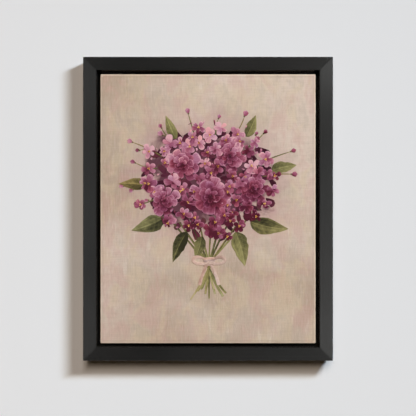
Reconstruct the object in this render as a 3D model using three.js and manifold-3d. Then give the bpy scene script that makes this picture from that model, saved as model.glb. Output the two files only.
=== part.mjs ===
// A small stretched canvas in a black floater frame, hung by a sawtooth hanger.
//
// Millimetres, +Z up. The picture faces -Y and its back faces the wall, which is the plane y = 0.
// The origin is the point on the wall under the middle tooth of the hanger, where a nail carries it.
// Everything is symmetric about x = 0, but for the lean of the staples.

import * as THREE from "three";
import { mergeVertices } from "three/addons/utils/BufferGeometryUtils.js";
import Module from "manifold-3d";

const wasm = await Module();
wasm.setup();

// ---- Driving dimensions ----

// The stretched canvas, an 8 x 10 inch one, and its cloth with the paint on it.
const CANVAS_WIDTH = 203.2;
const CANVAS_HEIGHT = 254.0;
const CLOTH = 0.6;
const CLOTH_TURN = 1.8; // radius of the turned edges and corners
const FLAP_WIDTH = 27; // cloth turned onto the back of the bars

// The stretcher bars under the cloth.
const BAR_WIDTH = 38;
const BAR_DEPTH = 18;
const BAR_BEAD = 4; // the flat rim that the cloth touches
const BAR_FALL = 3; // how far the front of a bar falls away behind the bead

// The frame: an L-shaped moulding whose ledge reaches behind the canvas.
const FLOAT_GAP = 3.3; // between the canvas and the frame, all round
const FACE_WIDTH = 12.7; // the black face seen from the front
const FRAME_DEPTH = 32;
const LEDGE_DEPTH = 9;
const LEDGE_REACH = 12; // how far the ledge covers the back of the canvas
const FACE_FALL = 0.4; // how much lower the face is at its outer edge than at its inner edge
const OUTER_ARRIS = 1.5; // radius of the face's outer edge
const INNER_ARRIS = 0.7; // radius of the face's inner edge
const BACK_ARRIS = 0.6; // chamfer of the back edges
const MITRE_GAP = 0.12; // the glue line between two rails or two bars

// Clearances.
const TOUCH = 0.1; // between pieces that touch
const SEAT = 0.3; // between the canvas and the ledge it is screwed to
const HOLE_ROOM = 0.25; // round a nail, staple or screw in its hole

// Fastenings.
const SCREW = { length: 18, shank: 1.5, point: 4, tip: 0.8, head: 3.2, rim: 0.3, headDepth: 2.2, inset: 7 };
const RECESS = { across: 3.7, arm: 0.8, deep: 1 }; // the cross in a screw's head
const PILOT_ROOM = 0.5; // round a screw in the cloth and the bars
const STAPLE = { crown: 10, wire: 0.6, width: 1.2, leg: 6, inset: 20, leans: [4, -6, 2, -3, 5] };
const V_NAIL = { leg: 5, thick: 0.5, depth: 7, insets: [7, 19] };
const KEY = { inside: 9, beyond: 15, thickEnd: 9, tip: 4, thick: 3 };
const KEY_SLOT = { room: 0.3, mouth: 1.5 };
const KEY_LAYERS = { upright: 11.6, level: 6 }; // depth of a key's middle from the back of the bars

// The hanger and the two bumpers that keep the picture off the wall.
const FRAME_TOP = 18; // the frame's top edge above the hanger's middle tooth
const HANGER = { half: 24, bend: 16, raised: 13, thick: 0.8, lift: 1.6, top: 9.4, hole: 20, holeHigh: 4.7 };
const TOOTH = { pitch: 2.6, deep: 1.6, each: 4 }; // this many teeth on each side of the middle one
const HANGER_NAIL = { length: 10, shank: 0.7, point: 1.2, head: 1.7, headDepth: 0.7 };
const BUMPER = { radius: 5, thick: 2.8, fromSide: 30, fromEdge: 14 };

// ---- Worked out from them ----

const FRAME_WIDTH = CANVAS_WIDTH + 2 * (FLOAT_GAP + FACE_WIDTH);
const FRAME_HEIGHT = CANVAS_HEIGHT + 2 * (FLOAT_GAP + FACE_WIDTH);
const CENTRE_Z = FRAME_TOP - FRAME_HEIGHT / 2;
const LEDGE_INSET = FACE_WIDTH + FLOAT_GAP + LEDGE_REACH; // the ledge's inner edge from the outer edge
const BACK_Y = -BUMPER.thick;
const FRONT_Y = BACK_Y - FRAME_DEPTH;
const CLOTH_BACK_Y = BACK_Y - LEDGE_DEPTH - SEAT;
const BAR_BACK_Y = CLOTH_BACK_Y - CLOTH - TOUCH;
const BAR_FRONT_Y = BAR_BACK_Y - BAR_DEPTH;
const CLOTH_FRONT_Y = BAR_FRONT_Y - TOUCH - CLOTH;
const BAR_INSET = CLOTH + TOUCH; // the bars' outer edge from the canvas's outer edge
const BAR_EDGE = CLOTH_TURN - BAR_INSET; // radius of the bars' outer edges and corners
const STAPLE_Y = CLOTH_BACK_Y + TOUCH; // the underside of a staple's crown
const HANGER_NAIL_Y = BACK_Y + TOUCH + HANGER.thick + TOUCH; // the underside of a nail's head

// The four sides, each made as the top one and turned about the picture's middle.
const SIDES = [
  { name: "top", turn: 0, along: "width", screws: [-50, 50], staples: [-66, -22, 22, 66] },
  { name: "right", turn: Math.PI / 2, along: "height", screws: [-75, 75], staples: [-88, -44, 0, 44, 88] },
  { name: "bottom", turn: Math.PI, along: "width", screws: [-50, 50], staples: [-66, -22, 22, 66] },
  { name: "left", turn: -Math.PI / 2, along: "height", screws: [-75, 75], staples: [-88, -44, 0, 44, 88] },
];
const CORNERS = [
  { name: "top_right", x: 1, z: 1, turn: 0 },
  { name: "bottom_right", x: 1, z: -1, turn: Math.PI / 2 },
  { name: "bottom_left", x: -1, z: -1, turn: Math.PI },
  { name: "top_left", x: -1, z: 1, turn: -Math.PI / 2 },
];
const half = { width: FRAME_WIDTH / 2, height: FRAME_HEIGHT / 2 };
const canvasHalf = { width: CANVAS_WIDTH / 2, height: CANVAS_HEIGHT / 2 };
const across = { width: "height", height: "width" };

const MATERIALS = {
  frame: new THREE.MeshStandardMaterial({ color: 0x262624, roughness: 0.45, metalness: 0 }),
  pine: new THREE.MeshStandardMaterial({ color: 0xcfae80, roughness: 0.7, metalness: 0 }),
  cloth: new THREE.MeshStandardMaterial({ color: 0xc2ad96, roughness: 0.75, metalness: 0 }),
  beech: new THREE.MeshStandardMaterial({ color: 0xb98a5c, roughness: 0.65, metalness: 0 }),
  steel: new THREE.MeshStandardMaterial({ color: 0xb4b6b8, roughness: 0.35, metalness: 1 }),
  bumper: new THREE.MeshStandardMaterial({ color: 0x3a3a3a, roughness: 0.9, metalness: 0 }),
};

const picture = new THREE.Group();
picture.position.z = CENTRE_Z;

// ---- Solids ----

// A closed geometry as a manifold solid.
function solidOf(geometry) {
  const bare = geometry.clone();
  bare.deleteAttribute("normal");
  bare.deleteAttribute("uv");
  const merged = mergeVertices(bare, 1e-4);
  return new wasm.Manifold(
    new wasm.Mesh({
      numProp: 3,
      vertProperties: merged.attributes.position.array,
      triVerts: new Uint32Array(merged.index.array),
    }),
  );
}

// A manifold solid as a flat-shaded geometry.
function geometryOf(solid) {
  const mesh = solid.getMesh();
  const geometry = new THREE.BufferGeometry();
  geometry.setAttribute("position", new THREE.BufferAttribute(mesh.vertProperties, 3));
  geometry.setIndex(new THREE.BufferAttribute(mesh.triVerts, 1));
  const flat = geometry.toNonIndexed();
  flat.computeVertexNormals();
  return flat;
}

// A body with each of the cutters taken out of it, and kept inside a block where one is given.
function cut(body, cutters, block = null) {
  const whole = block ? solidOf(body).intersect(solidOf(block)) : solidOf(body);
  return geometryOf(cutters.reduce((left, cutter) => left.subtract(solidOf(cutter)), whole));
}

// A named mesh in the picture's own frame, turned about the picture's middle.
function add(name, geometry, material, turn = 0) {
  const mesh = new THREE.Mesh(geometry, material);
  mesh.name = name;
  mesh.rotation.y = turn;
  picture.add(mesh);
}

// A geometry turned about +Y and then moved.
function placed(geometry, x, y, z, turn = 0) {
  return geometry.clone().rotateY(turn).translate(x, y, z);
}

// A closed outline of [x, z] points, extruded from y0 to y1, with y0 under y1.
function plate(outline, y0, y1) {
  const shape = new THREE.Shape(outline.map(([x, z]) => new THREE.Vector2(x, -z)));
  const flat = new THREE.ExtrudeGeometry(shape, { depth: y1 - y0, bevelEnabled: false });
  return flat.rotateX(-Math.PI / 2).translate(0, y0, 0);
}

// A closed outline of [x, y] points, extruded by `width` along z and centred on it.
function strip(outline, width) {
  const shape = new THREE.Shape(outline.map(([x, y]) => new THREE.Vector2(x, y)));
  return new THREE.ExtrudeGeometry(shape, { depth: width, bevelEnabled: false }).translate(0, 0, -width / 2);
}

// A profile of [radius, y] points, lowest first, turned about +Y.
function turned(profile, sides) {
  return new THREE.LatheGeometry(
    profile.map(([r, y]) => new THREE.Vector2(r, y)),
    sides,
  );
}

// A bar along x on the top side, with both ends mitred. `profile` is a shape in (inset from the outer
// edge, y), and every point of it ends on the two 45-degree lines through the outer corners.
function mitredBar(profile, halfAlong, halfOut) {
  const bar = new THREE.ExtrudeGeometry(profile, { depth: 1, bevelEnabled: false, curveSegments: 4 });
  const position = bar.attributes.position;
  for (let i = 0; i < position.count; i++) {
    const inset = position.getX(i);
    const reach = halfAlong - inset - MITRE_GAP / 2;
    const end = position.getZ(i) > 0.5 ? 1 : -1;
    position.setXYZ(i, end * reach, position.getY(i), halfOut - inset);
  }
  return bar;
}

// A slab with rounded corners and rounded front and back edges, from y0 to y1.
function roundedSlab(width, height, y0, y1, radius) {
  const x = width / 2 - radius;
  const z = height / 2 - radius;
  const shape = new THREE.Shape();
  shape.absarc(x, z, radius / 2, 0, Math.PI / 2);
  shape.absarc(-x, z, radius / 2, Math.PI / 2, Math.PI);
  shape.absarc(-x, -z, radius / 2, Math.PI, 1.5 * Math.PI);
  shape.absarc(x, -z, radius / 2, 1.5 * Math.PI, 2 * Math.PI);
  const slab = new THREE.ExtrudeGeometry(shape, {
    depth: y1 - y0 - radius,
    bevelEnabled: true,
    bevelSize: radius / 2,
    bevelThickness: radius / 2,
    bevelSegments: 3,
    curveSegments: 4,
  });
  return slab.rotateX(-Math.PI / 2).translate(0, y0 + radius / 2, 0);
}

// ---- Fastenings, and the holes they sit in ----

// A countersunk screw driven from the back, its head's face at y = 0 and its tip towards the front.
function screwProfile(room) {
  const { length, shank, point, tip, head, rim, headDepth } = SCREW;
  return [
    [0, -length - room],
    [tip + room, tip - length - room],
    [shank + room, point - length],
    [shank + room, -headDepth],
    [head + room, -rim],
    [head + room, room],
    [0, room],
  ];
}

function crossRecess() {
  const { across: wide, arm, deep } = RECESS;
  const slot = new THREE.BoxGeometry(wide, 2 * deep, arm);
  return [slot, slot.clone().rotateY(Math.PI / 2)];
}

// A staple seen along z: the crown's underside is at y = 0, and the legs point to the front.
function staple() {
  const { crown, wire, width, leg } = STAPLE;
  const out = crown / 2;
  const outline = [
    [-out, wire],
    [-out, -leg],
    [wire - out, -leg],
    [wire - out, 0],
    [out - wire, 0],
    [out - wire, -leg],
    [out, -leg],
    [out, wire],
  ];
  return strip(outline, width);
}

// The two holes of a staple's legs, at its place in the top side.
function stapleHoles({ x, z, turn }) {
  const { crown, wire, width, leg } = STAPLE;
  const deep = leg + HOLE_ROOM;
  const hole = new THREE.BoxGeometry(wire + 2 * HOLE_ROOM, deep, width + 2 * HOLE_ROOM);
  return [-1, 1].map((end) => {
    const leaning = hole.clone().translate((end * (crown - wire)) / 2, -deep / 2, 0);
    return placed(leaning, x, STAPLE_Y, z, turn);
  });
}

// A V-nail on the mitre of the corner towards +x, +z: both legs make 45 degrees with the mitre, and the
// point of the V is towards the outer corner.
function vNail(room) {
  const { leg, thick, depth } = V_NAIL;
  const t = thick / 2 + room;
  const l = leg + room;
  const outline = [
    [t, t],
    [-l, t],
    [-l, -t],
    [-t, -t],
    [-t, -l],
    [t, -l],
  ];
  return plate(outline, BACK_Y - depth - room, BACK_Y + room);
}

// ---- The frame: four mitred rails of one L-shaped moulding ----

function railProfile() {
  const shape = new THREE.Shape();
  shape.moveTo(OUTER_ARRIS, FRONT_Y + FACE_FALL);
  shape.lineTo(FACE_WIDTH - INNER_ARRIS, FRONT_Y);
  shape.absarc(FACE_WIDTH - INNER_ARRIS, FRONT_Y + INNER_ARRIS, INNER_ARRIS, -Math.PI / 2, 0, false);
  shape.lineTo(FACE_WIDTH, BACK_Y - LEDGE_DEPTH);
  shape.lineTo(LEDGE_INSET, BACK_Y - LEDGE_DEPTH);
  shape.lineTo(LEDGE_INSET, BACK_Y - BACK_ARRIS);
  shape.lineTo(LEDGE_INSET - BACK_ARRIS, BACK_Y);
  shape.lineTo(BACK_ARRIS, BACK_Y);
  shape.lineTo(0, BACK_Y - BACK_ARRIS);
  shape.lineTo(0, FRONT_Y + FACE_FALL + OUTER_ARRIS);
  shape.absarc(OUTER_ARRIS, FRONT_Y + FACE_FALL + OUTER_ARRIS, OUTER_ARRIS, Math.PI, 1.5 * Math.PI, false);
  return shape;
}

const screwHole = turned(screwProfile(HOLE_ROOM), 16);
const vNailSlot = vNail(HOLE_ROOM);

for (const side of SIDES) {
  const halfAlong = half[side.along];
  const halfOut = half[across[side.along]];
  const screwZ = halfOut - FACE_WIDTH - FLOAT_GAP - SCREW.inset;
  const holes = side.screws.map((x) => placed(screwHole, x, BACK_Y, screwZ));
  for (const inset of V_NAIL.insets) {
    holes.push(placed(vNailSlot, halfAlong - inset, 0, halfOut - inset));
    holes.push(placed(vNailSlot, inset - halfAlong, 0, halfOut - inset, -Math.PI / 2));
  }
  if (side.name === "top") {
    const nailHole = turned(hangerNailProfile(HOLE_ROOM), 12);
    const nailZ = HANGER.holeHigh - CENTRE_Z;
    for (const x of [-HANGER.hole, HANGER.hole]) holes.push(placed(nailHole, x, HANGER_NAIL_Y, nailZ));
  }
  const rail = mitredBar(railProfile(), halfAlong, halfOut);
  add(`frame_rail_${side.name}`, cut(rail, holes), MATERIALS.frame, side.turn);
}

for (const corner of CORNERS) {
  V_NAIL.insets.forEach((inset, i) => {
    const x = corner.x * (half.width - inset);
    const z = corner.z * (half.height - inset);
    add(`v_nail_${corner.name}_${i + 1}`, placed(vNail(0), x, 0, z, corner.turn), MATERIALS.steel);
  });
}

// ---- The stretcher: four mitred bars that fall away behind the cloth, slotted for the corner keys ----

function barProfile() {
  const inner = BAR_INSET + BAR_WIDTH;
  const shape = new THREE.Shape();
  shape.moveTo(BAR_INSET, BAR_FRONT_Y);
  shape.lineTo(BAR_INSET + BAR_BEAD, BAR_FRONT_Y);
  shape.lineTo(BAR_INSET + BAR_BEAD + 2, BAR_FRONT_Y + BAR_FALL / 2);
  shape.lineTo(inner, BAR_FRONT_Y + BAR_FALL);
  shape.lineTo(inner, BAR_BACK_Y);
  shape.lineTo(BAR_INSET, BAR_BACK_Y);
  return shape;
}

const staplePlaces = {};
for (const side of SIDES) {
  const halfOut = canvasHalf[across[side.along]];
  // No two staples are driven quite alike, so each leans a little, by turns.
  staplePlaces[side.name] = side.staples.map((x, i) => ({
    x,
    z: halfOut - STAPLE.inset,
    turn: THREE.MathUtils.degToRad(STAPLE.leans[i]),
  }));
}
const pilotRadius = SCREW.shank + PILOT_ROOM;

for (const side of SIDES) {
  const halfAlong = canvasHalf[side.along];
  const halfOut = canvasHalf[across[side.along]];
  const innerAlong = halfAlong - BAR_INSET - BAR_WIDTH;
  const innerOut = halfOut - BAR_INSET - BAR_WIDTH;

  const cutters = staplePlaces[side.name].flatMap(stapleHoles);
  const pilotLength = SCREW.length - LEDGE_DEPTH + 1;
  const pilot = new THREE.CylinderGeometry(pilotRadius, pilotRadius, pilotLength, 14);
  for (const x of side.screws) {
    cutters.push(placed(pilot, x, BACK_Y - LEDGE_DEPTH - pilotLength / 2, halfOut - SCREW.inset));
  }

  // The keys of the two corners enter this bar from its inner face, in a layer of their own.
  const layer = side.along === "width" ? KEY_LAYERS.upright : KEY_LAYERS.level;
  const slotThick = KEY.thick + 2 * KEY_SLOT.room;
  const low = innerAlong - KEY.thickEnd;
  const high = innerAlong + KEY_SLOT.mouth;
  const deep = KEY.beyond + 1;
  const slot = new THREE.BoxGeometry(high - low, slotThick, deep + 1);
  for (const end of [-1, 1]) {
    cutters.push(placed(slot, (end * (low + high)) / 2, BAR_BACK_Y - layer, innerOut + (deep - 1) / 2));
  }

  const bar = mitredBar(barProfile(), halfAlong, halfOut);
  const block = roundedSlab(
    2 * (halfAlong - BAR_INSET),
    2 * (halfOut - BAR_INSET),
    BAR_FRONT_Y,
    BAR_BACK_Y,
    BAR_EDGE,
  );
  add(`stretcher_bar_${side.name}`, cut(bar, cutters, block), MATERIALS.pine, side.turn);
}

// A key is a thin wedge: one straight side lies on a bar's inner face, and the tip is in the other bar.
// Upright keys stand along the side bars, and level ones lie along the top and bottom bars.
const innerX = CANVAS_WIDTH / 2 - BAR_INSET - BAR_WIDTH - TOUCH;
const innerZ = CANVAS_HEIGHT / 2 - BAR_INSET - BAR_WIDTH - TOUCH;
const wedge = (straight, along) => [
  [straight, along - KEY.inside],
  [straight, along + KEY.beyond],
  [straight - KEY.tip, along + KEY.beyond],
  [straight - KEY.thickEnd, along - KEY.inside],
];
const keyOutlines = {
  upright: wedge(innerX, innerZ),
  level: wedge(innerZ, innerX).map(([z, x]) => [x, z]),
};
for (const corner of CORNERS) {
  for (const [kind, outline] of Object.entries(keyOutlines)) {
    const here = outline.map(([x, z]) => [corner.x * x, corner.z * z]);
    const middle = BAR_BACK_Y - KEY_LAYERS[kind];
    const key = plate(here, middle - KEY.thick / 2, middle + KEY.thick / 2);
    add(`key_${kind}_${corner.name}`, key, MATERIALS.beech);
  }
}

// ---- The canvas: one cloth over the front and sides, turned onto the back of the bars ----

const clothHoles = [];
for (const side of SIDES) {
  const halfOut = canvasHalf[across[side.along]];
  const legHoles = staplePlaces[side.name].flatMap(stapleHoles);
  clothHoles.push(...legHoles.map((hole) => hole.rotateY(side.turn)));
  const bore = new THREE.CylinderGeometry(pilotRadius, pilotRadius, 4 * CLOTH, 14);
  for (const x of side.screws) {
    clothHoles.push(placed(bore, x, CLOTH_BACK_Y, halfOut - SCREW.inset).rotateY(side.turn));
  }
}
const clothInside = roundedSlab(
  CANVAS_WIDTH - 2 * CLOTH,
  CANVAS_HEIGHT - 2 * CLOTH,
  CLOTH_FRONT_Y + CLOTH,
  CLOTH_BACK_Y - CLOTH,
  CLOTH_TURN - CLOTH,
);
const backOpening = new THREE.BoxGeometry(
  CANVAS_WIDTH - 2 * FLAP_WIDTH,
  4 * CLOTH,
  CANVAS_HEIGHT - 2 * FLAP_WIDTH,
).translate(0, CLOTH_BACK_Y, 0);
const clothOutside = roundedSlab(CANVAS_WIDTH, CANVAS_HEIGHT, CLOTH_FRONT_Y, CLOTH_BACK_Y, CLOTH_TURN);
add("canvas", cut(clothOutside, [clothInside, backOpening, ...clothHoles]), MATERIALS.cloth);

// ---- Staples and screws, side by side round the picture ----

for (const side of SIDES) {
  const halfOut = canvasHalf[across[side.along]];
  staplePlaces[side.name].forEach(({ x, z, turn }, i) => {
    const driven = placed(staple(), x, STAPLE_Y, z, turn);
    add(`staple_${side.name}_${i + 1}`, driven, MATERIALS.steel, side.turn);
  });
  side.screws.forEach((x, i) => {
    const screw = placed(cut(turned(screwProfile(0), 16), crossRecess()), x, BACK_Y, halfOut - SCREW.inset);
    add(`frame_screw_${side.name}_${i + 1}`, screw, MATERIALS.steel, side.turn);
  });
}

// ---- The sawtooth hanger on the back of the top rail ----

// The strip seen from above: two tabs on the wood, and a raised middle that clears a nail's head.
function hangerOutline() {
  const { half: end, bend, raised, thick, lift } = HANGER;
  const onWood = [
    [-end, 0],
    [-bend, 0],
    [-raised, lift],
    [raised, lift],
    [bend, 0],
    [end, 0],
  ];
  const lean = thick * 0.35; // keeps the ramps about as thick as the strip
  const outside = [
    [end, thick],
    [bend - lean, thick],
    [raised - lean, lift + thick],
    [lean - raised, lift + thick],
    [lean - bend, thick],
    [-end, thick],
  ];
  return [...onWood, ...outside];
}

// A nail through a tab, with the underside of its head at y = 0.
function hangerNailProfile(room) {
  const { length, shank, point, head, headDepth } = HANGER_NAIL;
  return [
    [0, -length - room],
    [shank + room, point - length],
    [shank + room, 0],
    [head + room, 0],
    [head + room, headDepth * 0.6],
    [head * 0.6 + room, headDepth],
    [0, headDepth],
  ];
}

const hangerHeight = HANGER.top + TOOTH.deep;
const hangerStrip = strip(hangerOutline(), hangerHeight).translate(
  0,
  BACK_Y + TOUCH,
  (HANGER.top - TOOTH.deep) / 2,
);
const notch = plate(
  [
    [0, 0],
    [-TOOTH.pitch / 2, -TOOTH.deep],
    [-TOOTH.pitch / 2, -2 * TOOTH.deep],
    [TOOTH.pitch / 2, -2 * TOOTH.deep],
    [TOOTH.pitch / 2, -TOOTH.deep],
  ],
  BACK_Y,
  1,
);
const hangerCutters = [];
for (let i = -TOOTH.each; i <= TOOTH.each; i++) {
  hangerCutters.push(notch.clone().translate(i * TOOTH.pitch, 0, 0));
}
const tabHoleRadius = HANGER_NAIL.shank + HOLE_ROOM;
const tabHole = new THREE.CylinderGeometry(tabHoleRadius, tabHoleRadius, 4 * HANGER.thick, 12);
for (const x of [-HANGER.hole, HANGER.hole]) {
  hangerCutters.push(placed(tabHole, x, BACK_Y, HANGER.holeHigh));
}
const hanger = cut(hangerStrip, hangerCutters).translate(0, 0, -CENTRE_Z);
add("sawtooth_hanger", hanger, MATERIALS.steel);

for (const [name, x] of [["left", -HANGER.hole], ["right", HANGER.hole]]) {
  const nail = placed(turned(hangerNailProfile(0), 12), x, HANGER_NAIL_Y, HANGER.holeHigh - CENTRE_Z);
  add(`hanger_nail_${name}`, nail, MATERIALS.steel);
}

// ---- The wall bumpers on the back of the bottom rail ----

const bumperProfile = [
  [0, TOUCH],
  [BUMPER.radius, TOUCH],
  [BUMPER.radius, BUMPER.thick * 0.45],
  [BUMPER.radius * 0.92, BUMPER.thick * 0.8],
  [BUMPER.radius * 0.72, BUMPER.thick],
  [0, BUMPER.thick],
];
for (const [name, end] of [["left", -1], ["right", 1]]) {
  const x = end * (FRAME_WIDTH / 2 - BUMPER.fromSide);
  const bumper = placed(turned(bumperProfile, 20), x, BACK_Y, BUMPER.fromEdge - FRAME_HEIGHT / 2);
  add(`wall_bumper_${name}`, bumper, MATERIALS.bumper);
}

export default picture;
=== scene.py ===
# %% [markdown]
# # A small canvas picture in a black floater frame
# The object is a stretched canvas that floats inside an L-shaped black moulding. From the front a maker
# sees four mitred rails, a thin dark gap and the painted cloth. From behind there are pine stretcher bars
# with their corner keys, the cloth's stapled flaps, the screws that hold the canvas in the frame, and a
# sawtooth hanger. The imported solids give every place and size, so the first step is to load them and to
# read off the few measures that all the finer pieces are built from.

# %% Load the frame
import bmesh
import bpy
import math
import numpy as np
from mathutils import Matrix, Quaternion, Vector


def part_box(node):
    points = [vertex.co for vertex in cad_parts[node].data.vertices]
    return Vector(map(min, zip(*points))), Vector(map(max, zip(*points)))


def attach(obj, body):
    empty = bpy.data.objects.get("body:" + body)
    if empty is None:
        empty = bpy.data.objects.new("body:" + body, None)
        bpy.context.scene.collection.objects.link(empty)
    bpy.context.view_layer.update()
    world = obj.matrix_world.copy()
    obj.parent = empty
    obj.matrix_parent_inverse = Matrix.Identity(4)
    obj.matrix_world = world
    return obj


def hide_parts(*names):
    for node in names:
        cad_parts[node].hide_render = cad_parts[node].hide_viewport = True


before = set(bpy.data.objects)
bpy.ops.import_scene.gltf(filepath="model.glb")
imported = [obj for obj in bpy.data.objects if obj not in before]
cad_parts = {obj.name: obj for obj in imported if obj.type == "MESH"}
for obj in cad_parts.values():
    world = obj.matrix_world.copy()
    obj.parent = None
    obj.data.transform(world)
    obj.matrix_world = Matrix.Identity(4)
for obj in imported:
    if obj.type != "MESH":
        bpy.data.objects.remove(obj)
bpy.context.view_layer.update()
MM = 0.001
print("solids", len(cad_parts))

# %% Read the main measures
front_y, back_y = (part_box("frame_rail_left")[end].y for end in (0, 1))
half_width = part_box("frame_rail_right")[1].x
top_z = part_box("frame_rail_top")[1].z
bottom_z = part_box("frame_rail_bottom")[0].z
centre_z = (top_z + bottom_z) / 2
half_height = (top_z - bottom_z) / 2
canvas_low, canvas_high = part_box("canvas")
canvas_half = (canvas_high.x, (canvas_high.z - canvas_low.z) / 2)
cloth_front_y, cloth_back_y = canvas_low.y, canvas_high.y
print("frame", 2 * half_width, 2 * half_height, "canvas", 2 * canvas_half[0], 2 * canvas_half[1])

# %% Measures that the solids don't tell, and the four sides
FACE_WIDTH = 12.7 * MM
LEDGE_INSET = 28 * MM  # the ledge's inner edge from the frame's outer edge
LEDGE_DEPTH = 9 * MM
FACE_FALL = 0.4 * MM  # how much the face falls away towards its outer edge
MITRE_GAP = 0.12 * MM
CLOTH = 0.6 * MM
CLOTH_TURN = 1.0 * MM
FLAP_WIDTH = 27 * MM
TOUCH = 0.1 * MM
BAR_WIDTH = 38 * MM
BAR_DEPTH = 18 * MM
BAR_INSET = CLOTH + TOUCH

# Each side is made as the top one and turned about the picture's middle.
SIDES = {"top": 0.0, "right": math.pi / 2, "bottom": math.pi, "left": -math.pi / 2}
LEVEL = ("top", "bottom")
CORNERS = ((1, 1), (1, -1), (-1, -1), (-1, 1))  # clockwise from the upper right


def halves(side, half_x, half_z):
    """Half a side's own length, and how far out from the middle it lies."""
    return (half_x, half_z) if side in LEVEL else (half_z, half_x)


print("bars", BAR_WIDTH, "by", BAR_DEPTH, "set in by", BAR_INSET)

# %% [markdown]
# ## Camera
# The picture hangs flat on a wall and is looked at straight on. A long lens keeps the rails' inner walls
# to thin slivers, as when someone steps back from a small picture. The distance follows from one scale:
# how many millimetres of the frame's front plane one picture element covers.

# %% Camera
PICTURE_SIDE = 416  # picture elements across
MM_PER_ELEMENT = 0.9403  # in the plane of the frame's front
RISE = 0.8  # how far the frame's middle lies under the view's middle, in elements
LENS = 100.0
SENSOR = 36.0

distance = PICTURE_SIDE * MM_PER_ELEMENT * MM * LENS / SENSOR
camera = bpy.data.objects.new("camera", bpy.data.cameras.new("camera"))
camera.data.lens = LENS
camera.data.sensor_width = SENSOR
camera.location = (0, front_y - distance, centre_z + RISE * MM_PER_ELEMENT * MM)
camera.rotation_euler = (math.pi / 2, 0, 0)
bpy.context.scene.collection.objects.link(camera)
bpy.context.scene.camera = camera
print("camera distance", round(distance, 3))

# %% [markdown]
# ## Light
# The shadow tells where the main lamp is. It falls some 19 mm to the left and as far down, but it starts
# high up on the left side and ends far out on the bottom side, so the lamp can't be a distant one: it
# stands about a metre off, to the upper right, and its rays spread. How soft each of the shadow's edges is
# gives the lamp's shape: a long oval that rises to the right. The light inside the shadow is warmer and
# comes from a leaning window ahead: it reaches the wall beside the frame, and nearly none of it the wall
# right under the frame. Both lamps are warmer at their low left end. On the way out of the shadow, a spot on
# the wall meets that end first, so the shadow has a brown root and a warm rim.

# %% Measures of the key light and the window
KEY_PLACE = (0.428, -0.973, centre_z + 0.397)
KEY_SHARE = 0.63  # of the light on the wall right behind the picture
KEY_SIZE = (0.364, 0.125)
KEY_ROLL = math.radians(14)
KEY_STRENGTH = 7.19
KEY_COLOURS = ((1.05, 1.0, 0.85), (0.75, 1.0, 1.34))  # at its low left end and at its high right end
WINDOW_PLACE = (-0.04, -3.0, centre_z + 0.88)
WINDOW_SIZE = (1.22, 0.46)
WINDOW_ROLL = math.radians(51)
WINDOW_POWER = 32.2
WINDOW_COLOURS = ((1.24, 1.0, 0.74), (1.09, 1.0, 0.98))
print("the key's share of the light", KEY_SHARE)


# %% Making a lamp
def light(name, kind, place, aim, power, colour, roll=0.0, **settings):
    """A light of some kind at a place, turned so that its own -Z points along `aim`, then rolled about it."""
    lamp = bpy.data.objects.new(name, bpy.data.lights.new(name, kind))
    lamp.data.energy = power
    lamp.data.color = colour
    for key, value in settings.items():
        setattr(lamp.data, key, value)
    lamp.location = place
    lamp.rotation_euler = (Vector(aim).to_track_quat("-Z", "Y") @ Quaternion((0, 0, 1), roll)).to_euler()
    bpy.context.scene.collection.objects.link(lamp)
    return lamp


def graded(lamp, direction, low_colour, high_colour):
    """Lets a lamp's colour go from `low_colour` to `high_colour` across its face: the share of the second is
    the place on the face, in widths and heights of the lamp, times `direction`, eased in and out."""
    lamp.data.use_nodes = True
    nodes, links = lamp.data.node_tree.nodes, lamp.data.node_tree.links
    along, ease, blend = (nodes.new("ShaderNode" + kind) for kind in ("VectorMath", "MapRange", "Mix"))
    along.operation, ease.interpolation_type, blend.data_type = "DOT_PRODUCT", "SMOOTHSTEP", "RGBA"
    along.inputs[1].default_value = (*direction, 0)
    blend.inputs[6].default_value = (*low_colour, 1)
    blend.inputs[7].default_value = (*high_colour, 1)
    links.new(nodes.new("ShaderNodeNewGeometry").outputs["Parametric"], along.inputs[0])
    links.new(along.outputs["Value"], ease.inputs["Value"])
    links.new(ease.outputs["Result"], blend.inputs["Factor"])
    links.new(blend.outputs[2], nodes["Emission"].inputs["Color"])


# %% The two lamps
picture_middle = Vector((0, 0, centre_z))
key = light(
    "key", "AREA", KEY_PLACE, picture_middle - Vector(KEY_PLACE), KEY_STRENGTH, (1, 1, 1),
    roll=KEY_ROLL, shape="ELLIPSE", size=KEY_SIZE[0], size_y=KEY_SIZE[1],
)
window = light(
    "window", "AREA", WINDOW_PLACE, picture_middle - Vector(WINDOW_PLACE), WINDOW_POWER, (1, 1, 1),
    roll=WINDOW_ROLL, shape="ELLIPSE", size=WINDOW_SIZE[0], size_y=WINDOW_SIZE[1],
)
graded(key, (0.5, 0.5), *KEY_COLOURS)
graded(window, (1, 0), *WINDOW_COLOURS)

# The key doesn't fade with distance, as if a reflector evened it.
key_nodes, key_links = key.data.node_tree.nodes, key.data.node_tree.links
falloff = key_nodes.new("ShaderNodeLightFalloff")
falloff.inputs["Strength"].default_value = 1.0
key_links.new(falloff.outputs["Constant"], key_nodes["Emission"].inputs["Strength"])
key.visible_glossy = window.visible_glossy = False
print("key", key.data.energy, "window", window.data.energy)

# %% [markdown]
# A satin black rail has almost no colour of its own: what is seen is the room mirrored in it. Cards that
# only show in reflections give each rail its tone without lighting the wall. They stand round the camera,
# and three weaker ones at the sides and above are what the rails mirror when they are seen from aside.

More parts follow.
